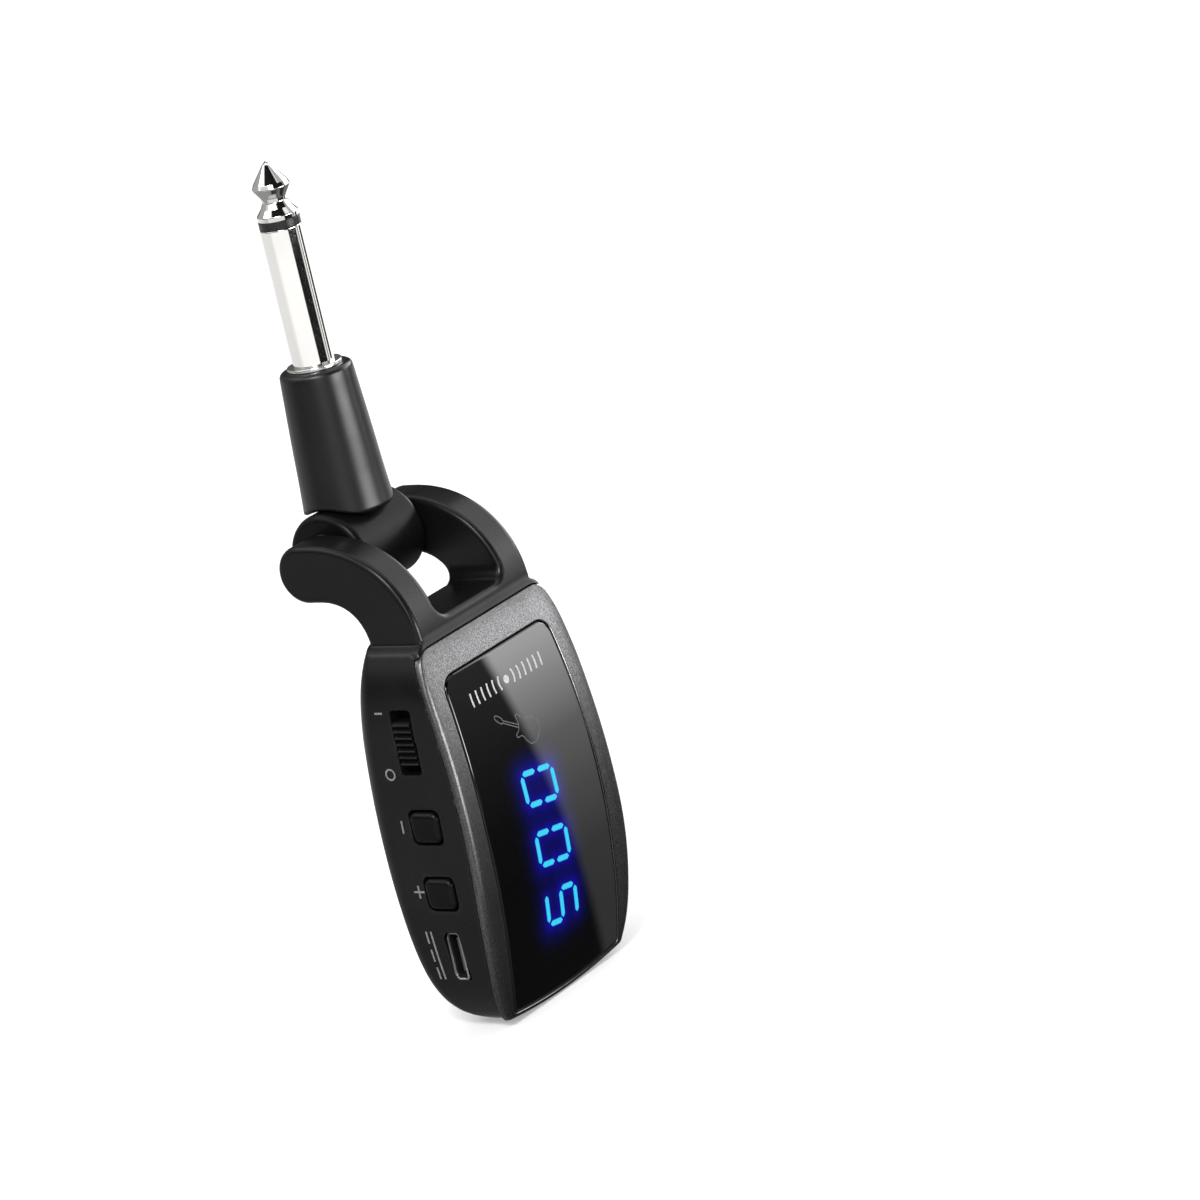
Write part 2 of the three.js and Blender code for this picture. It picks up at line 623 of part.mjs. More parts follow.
function makeButton(button) {
  const wall = -sectionAt(button.z).halfWidth;
  const halfY = button.width / 2 - BUTTON_GAP;
  const halfZ = button.length / 2 - BUTTON_GAP;
  const outline = roundedRectangle(
    new THREE.Shape(), button.y - halfY + BUTTON_BEVEL, button.y + halfY - BUTTON_BEVEL,
    button.z - halfZ + BUTTON_BEVEL, button.z + halfZ - BUTTON_BEVEL, BUTTON_CORNER,
  );
  const length = LIP_FRONT + 0.05 + BUTTON_PROUD;
  const geometry = new THREE.ExtrudeGeometry(outline, {
    depth: length - 2 * BUTTON_BEVEL, bevelEnabled: true, bevelSize: BUTTON_BEVEL,
    bevelThickness: BUTTON_BEVEL, bevelSegments: 2, curveSegments: 3,
  });
  laid(geometry, AXIS_Y, AXIS_Z, AXIS_X);
  geometry.translate(wall - BUTTON_PROUD + BUTTON_BEVEL, 0, 0);
  const lip = roundedRectangle(
    new THREE.Shape(), button.y - 3.0, button.y + 3.1, button.z - 3.3, button.z + 3.3, 1.0,
  );
  return join(solid(geometry), alongX(lip, wall + LIP_FRONT, wall + LIP_BACK));
}

function makeTactSwitch(button) {
  const wall = -sectionAt(button.z).halfWidth;
  const foot = BOARD_BACK + SLIP_GAP;
  const z0 = button.z - TACT_HALF_LENGTH;
  const z1 = button.z + TACT_HALF_LENGTH;
  const bore = PLUNGER_RADIUS + 0.15;
  return cut(
    box(wall + TACT_FRONT, wall + TACT_BACK, foot, foot + TACT_HEIGHT, z0, z1),
    axleX(bore, 0, wall + TACT_FRONT - 1, wall + PLUNGER_BACK + 0.6, button.y, button.z, 16),
  );
}

function makeTactPlunger(button) {
  const wall = -sectionAt(button.z).halfWidth;
  return axleX(PLUNGER_RADIUS, 0, wall + PLUNGER_FRONT, wall + PLUNGER_BACK, button.y, button.z, 16);
}

function makeUsbShell() {
  const mouth = -sectionAt(USB.z).halfWidth + 0.1;
  const outer = alongX(portShape(new THREE.Shape(), 0), mouth, mouth + USB_DEPTH);
  const inner = alongX(portShape(new THREE.Shape(), -USB_SKIN), mouth - 1, mouth + USB_DEPTH - USB_SKIN);
  return cut(outer, inner);
}

function makeUsbTongue() {
  const mouth = -sectionAt(USB.z).halfWidth + 0.1;
  const rootEnd = mouth + USB_DEPTH - USB_SKIN - SLIP_GAP;
  const root = alongX(portShape(new THREE.Shape(), -USB_SKIN - SLIP_GAP), rootEnd - 0.7, rootEnd);
  const blade = box(mouth + 0.9, rootEnd - 0.6, USB.y - 0.55, USB.y + 0.1, USB.z - 2.7, USB.z + 2.7);
  return join(root, blade);
}

// ---------------------------------------------------------------- hinge, collar and plug
function makeHingeBarrel() {
  const round = 0.5;
  const drum = turned([
    [0, -BARREL_HALF_LENGTH], [BARREL_RADIUS - round, -BARREL_HALF_LENGTH],
    [BARREL_RADIUS - 0.15, -BARREL_HALF_LENGTH + 0.15], [BARREL_RADIUS, -BARREL_HALF_LENGTH + round],
    [BARREL_RADIUS, BARREL_HALF_LENGTH - round], [BARREL_RADIUS - 0.15, BARREL_HALF_LENGTH - 0.15],
    [BARREL_RADIUS - round, BARREL_HALF_LENGTH], [0, BARREL_HALF_LENGTH],
  ], 0, 0).rotate([0, 90, 0]).translate([0, HINGE_Y, HINGE_Z]);
  const neck = turned([
    [0, HINGE_Z], [NECK_RADIUS, HINGE_Z], [NECK_RADIUS, NECK_TOP], [0, NECK_TOP],
  ], 0, HINGE_Y);
  const chamberFoot = HINGE_Z + CHAMBER_FOOT;
  const chamber = turned([
    [0, chamberFoot], [CHAMBER_RADIUS, chamberFoot], [CHAMBER_RADIUS, CHAMBER_TOP], [0, CHAMBER_TOP],
  ], 0, HINGE_Y);
  const pinBore = axleX(PIN_RADIUS + SLIP_GAP, 0, -20, 20, HINGE_Y, HINGE_Z);
  return cut(join(drum, neck), chamber, pinBore);
}

function makeHingePin(side, bore) {
  const x0 = side > 0 ? PIN_INNER_END : -PIN_OUTER_END;
  const x1 = side > 0 ? PIN_OUTER_END : -PIN_INNER_END;
  return axleX(PIN_RADIUS, bore, x0, x1, HINGE_Y, HINGE_Z);
}

function makeFrictionWasher(side) {
  const inner = BARREL_HALF_LENGTH + SLIP_GAP;
  const outer = SLOT_HALF_WIDTH - SLIP_GAP;
  const x0 = side > 0 ? inner : -outer;
  return axleX(WASHER_RADIUS, PIN_RADIUS + 0.15, x0, x0 + outer - inner, HINGE_Y, HINGE_Z);
}

function makeCollar() {
  const lipRound = 0.6;
  const bore = NECK_RADIUS + SLIP_GAP;
  const foot = HINGE_Z + COLLAR_FOOT;
  const body = turned([
    [bore, foot],
    [COLLAR_BOTTOM_RADIUS - 0.4, foot],
    [COLLAR_BOTTOM_RADIUS - 0.1, foot + 0.15],
    [COLLAR_BOTTOM_RADIUS, foot + 0.5],
    [6.5, 22.4],
    [COLLAR_MIDDLE_RADIUS, 28.0],
    [COLLAR_TOP_RADIUS + 0.15, COLLAR_TOP - 1.6],
    [COLLAR_TOP_RADIUS, COLLAR_TOP - lipRound],
    [COLLAR_TOP_RADIUS - 0.2, COLLAR_TOP - 0.15],
    [COLLAR_TOP_RADIUS - 0.6, COLLAR_TOP],
    [SHANK_RADIUS + SLIP_GAP, COLLAR_TOP],
    [SHANK_RADIUS + SLIP_GAP, NECK_TOP + 0.4],
    [bore, NECK_TOP + 0.4],
    [bore, foot],
  ], 0, HINGE_Y);
  return body.subtract(axleX(BARREL_RADIUS + 0.5, 0, -20, 20, HINGE_Y, HINGE_Z));
}

function makePlugFlange() {
  return turned([
    [PLUG_RADIUS + SLIP_GAP, COLLAR_TOP + 0.05], [4.2, COLLAR_TOP + 0.05], [4.2, COLLAR_TOP + 0.35],
    [3.95, COLLAR_TOP + 0.6], [PLUG_RADIUS + SLIP_GAP, COLLAR_TOP + 0.6],
    [PLUG_RADIUS + SLIP_GAP, COLLAR_TOP + 0.05],
  ], 0, HINGE_Y);
}

function makePlugSleeve() {
  const bore = INSULATOR_RADIUS + SLIP_GAP;
  const foot = NECK_TOP + 0.5;
  return turned([
    [bore, foot], [SHANK_RADIUS, foot], [SHANK_RADIUS, COLLAR_TOP - 0.4], [PLUG_RADIUS, COLLAR_TOP - 0.4],
    [PLUG_RADIUS, RING_BOTTOM - 0.05], [bore, RING_BOTTOM - 0.05], [bore, foot],
  ], 0, HINGE_Y);
}

function makePlugInsulator() {
  const bore = ROD_RADIUS + SLIP_GAP;
  return turned([
    [bore, INSULATOR_FOOT], [INSULATOR_RADIUS, INSULATOR_FOOT], [INSULATOR_RADIUS, RING_BOTTOM],
    [PLUG_RADIUS, RING_BOTTOM], [PLUG_RADIUS, RING_TOP], [bore, RING_TOP], [bore, INSULATOR_FOOT],
  ], 0, HINGE_Y);
}

function makePlugTip() {
  const apex = COLLAR_TOP + PLUG_LENGTH;
  const bore = ROD_RADIUS + SLIP_GAP;
  const base = RING_TOP + 0.05;
  return turned([
    [bore, base],
    [PLUG_RADIUS - 0.1, base],
    [PLUG_RADIUS - 0.05, base + 0.7],
    [PLUG_RADIUS - 0.35, base + 1.2],
    [2.25, base + 1.75],
    [1.9, base + 2.4],
    [1.85, base + 3.1],
    [2.1, base + 3.7],
    [2.75, base + 4.6],
    [2.85, base + 4.95],
    [2.75, base + 5.25],
    [1.5, apex - 1.5],
    [0.7, apex - 0.45],
    [0.35, apex - 0.1],
    [0, apex],
    [0, apex - 3.4],
    [bore, apex - 3.4],
    [bore, base],
  ], 0, HINGE_Y);
}

function makeTipRod() {
  return turned([[0, ROD_FOOT], [ROD_RADIUS, ROD_FOOT], [ROD_RADIUS, ROD_TOP], [0, ROD_TOP]], 0, HINGE_Y);
}

function makeTipLug() {
  const bore = ROD_RADIUS + SLIP_GAP;
  const { foot, top, radius } = TIP_LUG;
  return turned([[bore, foot], [radius, foot], [radius, top], [bore, top], [bore, foot]], 0, HINGE_Y);
}

function makeSleeveLug() {
  const { foot, top, radius, tailFoot } = SLEEVE_LUG;
  const bore = INSULATOR_RADIUS + 0.1;
  const washer = turned([[bore, foot], [radius, foot], [radius, top], [bore, top], [bore, foot]], 0, HINGE_Y);
  const tail = box(-0.6, 0.6, HINGE_Y + 1.98, HINGE_Y + 2.3, tailFoot, foot + 0.14);
  return join(washer, tail);
}

const CABLE_IN_BARREL = [
  [0, HINGE_Y, 22.6], [0, HINGE_Y, 18.0], [0, HINGE_Y, 14.2], [0.9, HINGE_Y, 11.4],
  [3.2, HINGE_Y, HINGE_Z], [5.6, HINGE_Y, HINGE_Z], [8.4, HINGE_Y, HINGE_Z],
];

// ---------------------------------------------------------------- materials
function material(color, roughness, metalness) {
  return () => new THREE.MeshStandardMaterial({ color, roughness, metalness });
}

const matteBlack = material(0x1c1c1e, 0.55, 0.0);
const satinBlack = material(0x202022, 0.38, 0.0);
const greyMetallic = material(0x6e6f72, 0.42, 0.55);
const glossBlack = material(0x07080b, 0.08, 0.0);
const nickel = material(0xd9d8d3, 0.14, 1.0);
const steel = material(0x9a9b9d, 0.3, 1.0);
const brass = material(0xb8924a, 0.35, 1.0);
const insulatorBlack = material(0x101012, 0.45, 0.0);
const boardGreen = material(0x12402c, 0.5, 0.0);
const chipBlack = material(0x17171a, 0.6, 0.0);
const foilSilver = material(0xb9bcc0, 0.4, 0.7);
const foamGrey = material(0x3c3d40, 0.95, 0.0);
const ceramicWhite = material(0xd8d8d2, 0.6, 0.0);
const cableGrey = material(0x2b2b2e, 0.6, 0.0);

// ---------------------------------------------------------------- assembly
function piece(name, body, finish) {
  const mesh = new THREE.Mesh(geometryOf(body), finish());
  mesh.name = name;
  return mesh;
}

// Everything fixed to the pack
function makePack() {
  const pack = new THREE.Group();
  pack.name = 'pack';
  pack.add(
    piece('rear_housing', makeRearHousing(), matteBlack),
    piece('front_cover', makeFrontCover(), greyMetallic),
    piece('display_lens', makeDisplayLens(), glossBlack),
    piece('display_reflector', makeDisplayReflector(), chipBlack),
    piece('main_board', makeMainBoard(), boardGreen),
    piece('battery_cell', makeBattery(), foilSilver),
    piece('battery_pad', makeBatteryPad(), foamGrey),
    piece('radio_shield', makeRadioShield(), foilSilver),
    piece('switch_base', makeSwitchBase(), steel),
    piece('minus_tact_switch', makeTactSwitch(MINUS), steel),
    piece('plus_tact_switch', makeTactSwitch(PLUS), steel),
    piece('usb_shell', makeUsbShell(), steel),
    piece('usb_tongue', makeUsbTongue(), chipBlack),
    piece('friction_washer_left', makeFrictionWasher(-1), chipBlack),
    piece('friction_washer_right', makeFrictionWasher(1), chipBlack),
    piece('cable_in_yoke', cord(CABLE_IN_YOKE, CABLE_RADIUS), cableGrey),
  );
  CHIPS.forEach(([name, ...block]) => {
    pack.add(piece(name, onBoardBack(...block), name === 'antenna_chip' ? ceramicWhite : chipBlack));
  });
  BOSSES.forEach((boss, index) => {
    pack.add(piece(`board_screw_${index + 1}`, makeBoardScrew(boss), steel));
  });
  return pack;
}

function makeControls() {
  const controls = new THREE.Group();
  controls.name = 'controls';
  controls.add(
    piece('switch_slider', makeSwitchSlider(), matteBlack),
    piece('minus_button', makeButton(MINUS), satinBlack),
    piece('plus_button', makeButton(PLUS), satinBlack),
    piece('minus_tact_plunger', makeTactPlunger(MINUS), chipBlack),
    piece('plus_tact_plunger', makeTactPlunger(PLUS), chipBlack),
  );
  return controls;
}

// Everything that folds with the plug
function makeFoldingPlug() {
  const plug = new THREE.Group();
  plug.name = 'folding_plug';
  plug.add(
    piece('hinge_barrel', makeHingeBarrel(), satinBlack),
    piece('hinge_pin_left', makeHingePin(-1, 0), steel),
    piece('hinge_pin_right', makeHingePin(1, 1.0), steel),
    piece('plug_collar', makeCollar(), satinBlack),
    piece('plug_flange', makePlugFlange(), nickel),
    piece('plug_sleeve', makePlugSleeve(), nickel),
    piece('plug_insulator', makePlugInsulator(), insulatorBlack),
    piece('plug_tip', makePlugTip(), nickel),
    piece('tip_rod', makeTipRod(), brass),
    piece('tip_lug', makeTipLug(), brass),
    piece('sleeve_lug', makeSleeveLug(), brass),
    piece('cable_in_barrel', cord(CABLE_IN_BARREL, CABLE_RADIUS), cableGrey),
  );
  return plug;
}

const transmitter = new THREE.Group();
transmitter.name = 'wireless_guitar_transmitter';
transmitter.add(makePack(), makeControls(), makeFoldingPlug());
// Stand the lowest point on Z = 0 and centre the depth
transmitter.position.set(0, (FRONT_BULGE - HINGE_Y - BARREL_RADIUS) / 2, PACK_LENGTH);

export default transmitter;
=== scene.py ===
"""Looks for the wireless guitar transmitter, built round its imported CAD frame.

Shapes are drawn in millimetres in the pack frame, whose origin is the middle of the front top edge of
the pack: X along the fold axis, -Y out of the display, +Z along the plug.  to_frame() puts them in metres.
"""

import json
import math

import bmesh
import bpy
import numpy as np
from mathutils import Matrix, Vector, geometry


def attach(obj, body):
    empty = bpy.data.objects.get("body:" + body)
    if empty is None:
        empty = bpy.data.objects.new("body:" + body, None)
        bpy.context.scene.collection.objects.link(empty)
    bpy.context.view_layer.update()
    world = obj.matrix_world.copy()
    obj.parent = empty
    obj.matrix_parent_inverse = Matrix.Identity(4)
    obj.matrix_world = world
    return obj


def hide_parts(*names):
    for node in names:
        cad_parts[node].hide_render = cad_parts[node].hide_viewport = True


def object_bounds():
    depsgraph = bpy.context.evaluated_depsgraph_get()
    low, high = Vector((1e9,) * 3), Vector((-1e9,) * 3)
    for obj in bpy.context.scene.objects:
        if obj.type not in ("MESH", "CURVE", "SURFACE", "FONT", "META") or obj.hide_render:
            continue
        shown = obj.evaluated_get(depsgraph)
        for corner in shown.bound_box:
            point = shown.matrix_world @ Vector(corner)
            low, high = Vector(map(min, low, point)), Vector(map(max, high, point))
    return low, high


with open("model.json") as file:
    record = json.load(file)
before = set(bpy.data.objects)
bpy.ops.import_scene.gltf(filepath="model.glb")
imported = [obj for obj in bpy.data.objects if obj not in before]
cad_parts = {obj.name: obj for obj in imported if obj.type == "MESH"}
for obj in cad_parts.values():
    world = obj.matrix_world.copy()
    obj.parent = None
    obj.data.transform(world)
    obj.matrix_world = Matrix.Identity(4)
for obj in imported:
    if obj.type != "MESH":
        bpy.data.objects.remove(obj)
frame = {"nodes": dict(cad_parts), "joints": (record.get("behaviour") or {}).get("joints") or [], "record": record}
CAD_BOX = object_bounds()

# ------------------------------------------------------------------ dimensions, mm
HINGE_Y, HINGE_Z = 19.2, 10.6
PACK_LENGTH = 61.5
FRONT_BULGE = 4.0
BOTTOM_SAG = 1.05
SAG_HALF_WIDTH = 14.5
RIM, RIM_BOTTOM = 1.2, 0.9
COVER_THICKNESS = 2.0
COVER_LAP = 1.0             # how deep the cover wraps over the housing's front corner
COVER_GAP = 0.1
COVER_CORNER = 1.9          # radius of its upper corners
SHOULDER_RADIUS = 2.1       # radius of the housing's upper corners, seen from the front
SEAT_GAP = 0.05             # clearance behind and around fitted pieces
LAP_GAP = 0.06              # clearance behind the part of the cover that wraps over
TOP_SHARE, FOOT_SHARE = 0.3, 0.4    # share of an inset that the cover's top and foot take
FRONT_CORNER, HOLLOW_CORNER, TOP_EDGE = 0.9, 0.5, 0.35      # edge radii of the lofted body
OPENING_END = -12.0         # how far in the left wall's openings reach
LENS_THICKNESS = 1.2
TINY = 1e-12                # keeps divisions away from nought
SECTIONS = (
    (0.0, 14.43, 9.6, 0.6),
    (1.6, 15.75, 10.2, 1.2),
    (5.4, 17.35, 11.6, 2.4),
    (11.0, 18.05, 13.1, 3.2),
    (19.0, 18.4, 14.0, 3.3),
    (31.0, 18.9, 14.2, 3.3),
    (42.0, 19.2, 13.5, 3.3),
    (50.0, 18.6, 12.8, 3.3),
    (55.6, 17.6, 11.6, 3.0),
    (58.6, 16.4, 10.3, 2.7),
    (60.4, 15.2, 8.0, 2.2),
    (61.5, 13.9, 4.3, 1.4),
)
YOKE_HALF_WIDTH, YOKE_TOP, KNUCKLE = 14.43, 15.05, 4.45
SLOT_HALF, SLOT_FLOOR, SLOT_CORNER = 8.44, 1.5, 2.5
BARREL_RADIUS, BARREL_HALF = 7.1, 7.83
PIN_RADIUS = 1.9
COLLAR_TOP, COLLAR_FOOT, NECK_TOP, NECK_RADIUS = 38.6, 16.2, 26.0, 4.6
PLUG_RADIUS, PLUG_LENGTH, SHANK_RADIUS = 3.175, 31.75, 3.6
INSULATOR_RADIUS, ROD_RADIUS = 1.85, 0.95
RING_BOTTOM, RING_TOP = 60.4, 61.6
# openings in the left wall: middle height, middle depth, width along Y, length along Z
SWITCH = (-14.5, 4.05, 3.8, 10.0)
MINUS = (-27.7, 3.6, 5.8, 5.5)
PLUS = (-38.1, 3.5, 5.8, 5.5)
PORT = (-48.3, 3.7, 2.6, 7.7)
SLIDER_Z, SLIDER_LENGTH, RIBS = -14.75, 7.1, 7
BUTTON_PROUD, BUTTON_GAP, BUTTON_CORNER, BUTTON_EDGE = 0.55, 0.3, 1.15, 0.8
CROWN_DROP, CROWN_REACH = 0.10, 3.0         # how much lower a cap is this far from its middle
FLANGE_HALF, FLANGE_CORNER = (3.05, 3.3), 1.0
CAP_ROOT, FLANGE_FROM, FLANGE_TO = 2.6, 2.4, 3.1    # depths behind the wall's outer face
RIB_FOOT, RIB_HEIGHT = 0.32, 0.62           # the grooves' depth in the wall, and the ribs' height
PLATE_HALF, STEM_HALF = (2.1, 5.2), (0.6, 1.3)

fold = next(j for j in frame["joints"] if j["name"] == "plug_fold")
SHIFT = np.array([0.0, fold["pos_m"][1] * 1000 - HINGE_Y, fold["pos_m"][2] * 1000 - HINGE_Z])


def to_frame(points):
    """Pack frame in millimetres to the row frame in metres."""
    return (np.asarray(points, float) + SHIFT) / 1000


# ------------------------------------------------------------------ body form
def cubic_table(column, at):
    """The section table joined by the same cubic as the CAD's."""
    t = np.array([row[0] for row in SECTIONS])
    v = np.array([row[column] for row in SECTIONS])
    i = np.clip(np.searchsorted(t, at, side="right"), 1, len(t) - 1)
    t0, t1 = t[i - 1], t[i]
    before = np.where(i >= 2, i - 2, i)
    after = np.where(i + 1 < len(t), np.minimum(i + 1, len(t) - 1), i - 1)
    half = (t1 - t0) / 2
    w0 = half / (t0 - t[before])
    w1 = half / (t[after] - t1)
    p = (at - t0) / (t1 - t0)
    return (
        (-w0 * p**3 + 2 * w0 * p**2 - w0 * p) * v[before]
        + ((1 + w0) * p**3 + (-1.5 - 2 * w0) * p**2 + (-0.5 + w0) * p + 1) * v[i - 1]
        + ((-1 - w1) * p**3 + (1.5 + w1) * p**2 + 0.5 * p) * v[i]
        + (w1 * p**3 - w1 * p**2) * v[after]
    )


DEPTHS = np.arange(0, PACK_LENGTH + 0.05, 0.1)


def faired(column):
    """The section curve with its small steps in curvature smoothed out, unchanged near the ends."""
    curve = cubic_table(column, DEPTHS)
    reach = 22
    kernel = np.exp(-0.5 * (np.arange(-reach, reach + 1) / 9.0) ** 2)
    kernel /= kernel.sum()
    soft = np.convolve(np.pad(curve, reach, mode="edge"), kernel, mode="valid")
    ends = np.minimum(DEPTHS, PACK_LENGTH - DEPTHS)
    share = np.clip((ends - 2.0) / 3.0, 0, 1)
    return curve + (soft - curve) * share


HALF, BACK, CORNER = (faired(column) for column in (1, 2, 3))


def half_at(z):
    return np.interp(-z, DEPTHS, HALF)


def back_at(z):
    return np.interp(-z, DEPTHS, BACK)


def corner_at(z):
    return np.interp(-z, DEPTHS, CORNER)


ARC = ((PACK_LENGTH / 2) ** 2 + FRONT_BULGE**2) / (2 * FRONT_BULGE)


def front_at(z):
    rise = np.clip(z, -PACK_LENGTH - 2, 2) + PACK_LENGTH / 2
    return ARC - FRONT_BULGE - np.sqrt(ARC**2 - rise**2)


def ramp(value, low, high):
    share = np.clip((value - low) / (high - low), 0, 1)
    return share * share * (3 - 2 * share)


def lift_at(x, z):
    """How far the bottom edge lifts towards the corners."""
    return ramp(-z, 0.8 * PACK_LENGTH, PACK_LENGTH) * sag_at(x)


def sag_at(x):
    return BOTTOM_SAG * (x / SAG_HALF_WIDTH) ** 2


def lower_edge(x):
    """Height of the pack's lower edge."""
    return sag_at(x) - PACK_LENGTH


# ------------------------------------------------------------------ implicit shapes (negative inside)
def meet(a, b, radius=0.0):
    """Both at once, with a rounded edge between them."""
    if radius <= 0:
        return np.maximum(a, b)
    corner = np.hypot(np.maximum(a + radius, 0), np.maximum(b + radius, 0))
    return np.minimum(-radius, np.maximum(a, b)) + corner


def either(a, b, radius=0.0):
    """One or the other, with a rounded fillet between them."""
    if radius <= 0:
        return np.minimum(a, b)
    corner = np.hypot(np.maximum(radius - a, 0), np.maximum(radius - b, 0))
    return np.maximum(radius, np.minimum(a, b)) - corner


def less(a, b, radius=0.0):
    """a with b cut away."""
    return meet(a, -b, radius)


def rectangle(u, v, half_u, half_v, radius):
    qu = np.abs(u) - half_u + radius
    qv = np.abs(v) - half_v + radius
    return np.minimum(np.maximum(qu, qv), 0) + np.hypot(np.maximum(qu, 0), np.maximum(qv, 0)) - radius


def slab(value, low, high):
    return np.maximum(low - value, value - high)


def to_segment(u, v, a, b):
    """Distance from each point to the segment from a to b."""
    along = np.subtract(b, a)
    share = np.clip(((u - a[0]) * along[0] + (v - a[1]) * along[1]) / (along @ along), 0, 1)
    return np.hypot(u - a[0] - share * along[0], v - a[1] - share * along[1])


def polygon(u, v, corners):
    """Signed distance to a closed polygon."""
    away = np.full(u.shape, np.inf)
    inside = np.zeros(u.shape, bool)
    for a, b in zip(corners, np.roll(corners, -1, axis=0)):
        away = np.minimum(away, to_segment(u, v, a, b))
        if a[1] != b[1]:
            crossing = (b[0] - a[0]) * (v - a[1]) / (b[1] - a[1]) + a[0]
            inside ^= ((a[1] > v) != (b[1] > v)) & (u < crossing)
    return np.where(inside, -away, away)


class Lookup:
    """A plane field sampled on a fine grid, for quick reading."""

    def __init__(self, field, low, high, step):
        self.low, self.step = np.array(low, float), step
        u = np.arange(low[0], high[0] + step, step)
        v = np.arange(low[1], high[1] + step, step)
        self.grid = field(*np.meshgrid(u, v, indexing="ij"))

    def __call__(self, u, v):
        fu = np.clip((u - self.low[0]) / self.step, 0, self.grid.shape[0] - 1.001)
        fv = np.clip((v - self.low[1]) / self.step, 0, self.grid.shape[1] - 1.001)
        i, j = fu.astype(int), fv.astype(int)
        du, dv = fu - i, fv - j
        near = self.grid[i, j] * (1 - du) + self.grid[i + 1, j] * du
        far = self.grid[i, j + 1] * (1 - du) + self.grid[i + 1, j + 1] * du
        return near * (1 - dv) + far * dv


def bezier(a, b, c, d, steps):
    t = np.linspace(0, 1, steps + 1)[:, None]
    a, b, c, d = (np.array(p, float) for p in (a, b, c, d))
    return (1 - t) ** 3 * a + 3 * t * (1 - t) ** 2 * b + 3 * t**2 * (1 - t) * c + t**3 * d


def arc(centre, radius, start, end, steps):
    angle = np.radians(np.linspace(start, end, steps + 1))
    return np.stack([centre[0] + radius * np.cos(angle), centre[1] + radius * np.sin(angle)], 1)


def yoke_outline():
    front = bezier((0, 0), (0.5, 8.8), (7.5, YOKE_TOP), (17.5, YOKE_TOP), 36)
    knuckle = arc((HINGE_Y, YOKE_TOP - KNUCKLE), KNUCKLE, 90, -90, 36)
    under = bezier((17.1, YOKE_TOP - 2 * KNUCKLE), (12.1, 6.05), (9.75, 2.9), (9.65, -1.2), 30)
    return np.vstack([[[0, -0.6]], front, knuckle, under, [[9.65, -2.6], [1.2, -2.6]]])


yoke_profile = Lookup(lambda u, v: polygon(u, v, yoke_outline()), (-8, -8), (28, 20), 0.06)


def body_form(x, y, z, inset, front_inset, floor, top, edge):
    """The lofted body, shrunk by an inset."""
    level = z - lift_at(x, z - lift_at(x, z))
    half, back = half_at(level) - inset, back_at(level) - inset
    front = front_at(level) + front_inset
    middle, depth = (front + back) / 2, (back - front) / 2
    front_corner = HOLLOW_CORNER if inset else FRONT_CORNER
    radius = np.where(y > middle, np.maximum(corner_at(level) - inset, 0.4), front_corner)
    section = rectangle(x, y - middle, half, depth, np.minimum(radius, depth - 0.05))
    return meet(meet(section, floor - level, edge), z - top, TOP_EDGE)


def wall_opening(x, y, z, spec, corner):
    """Rounded opening through the left wall."""
    height, depth, width, length = spec
    return np.maximum(rectangle(y - depth, z - height, width / 2, length / 2, corner), x - OPENING_END)


def port_outline(grow):
    height, depth, width, length = PORT
    half = length / 2 + grow
    front, back = depth - width / 2 - grow, depth + width / 2 + grow
    corners = [(front, -half), (depth + 0.5, -half), (back, -half + 0.55)]
    corners += [(u, -v) for u, v in reversed(corners)]
    return np.array([(u, v + height) for u, v in corners])


def port_field(grow, corner):
    shrunk = port_outline(grow - corner)
    return Lookup(lambda u, v: polygon(u, v, shrunk) - corner, (0, -54), (7.4, -42.6), 0.03)


port_hole = port_field(0.15, 0.55)
WALL, WALL_BELOW, HOLLOW_TOP = 2.1, 2.6, -3.2       # walls round the hollow, and its upper end
POST_RADIUS, POST_FRONT = 2.0, 2.35                 # posts left standing in it at BOSSES
FOOT_EDGE, ARM_EDGE, SLOT_EDGE, OPENING_EDGE = 1.1, 0.85, 0.75, 0.2     # edge radii
SLOT_REACH = 20                                     # half height of the cut, well past the arms' top
PIN_REACH = 10.9                                    # how far out the pins' bores go
BOSSES = ((-8.2, -9.3), (7.6, -9.4), (-10.8, -51.6), (10.8, -51.6))


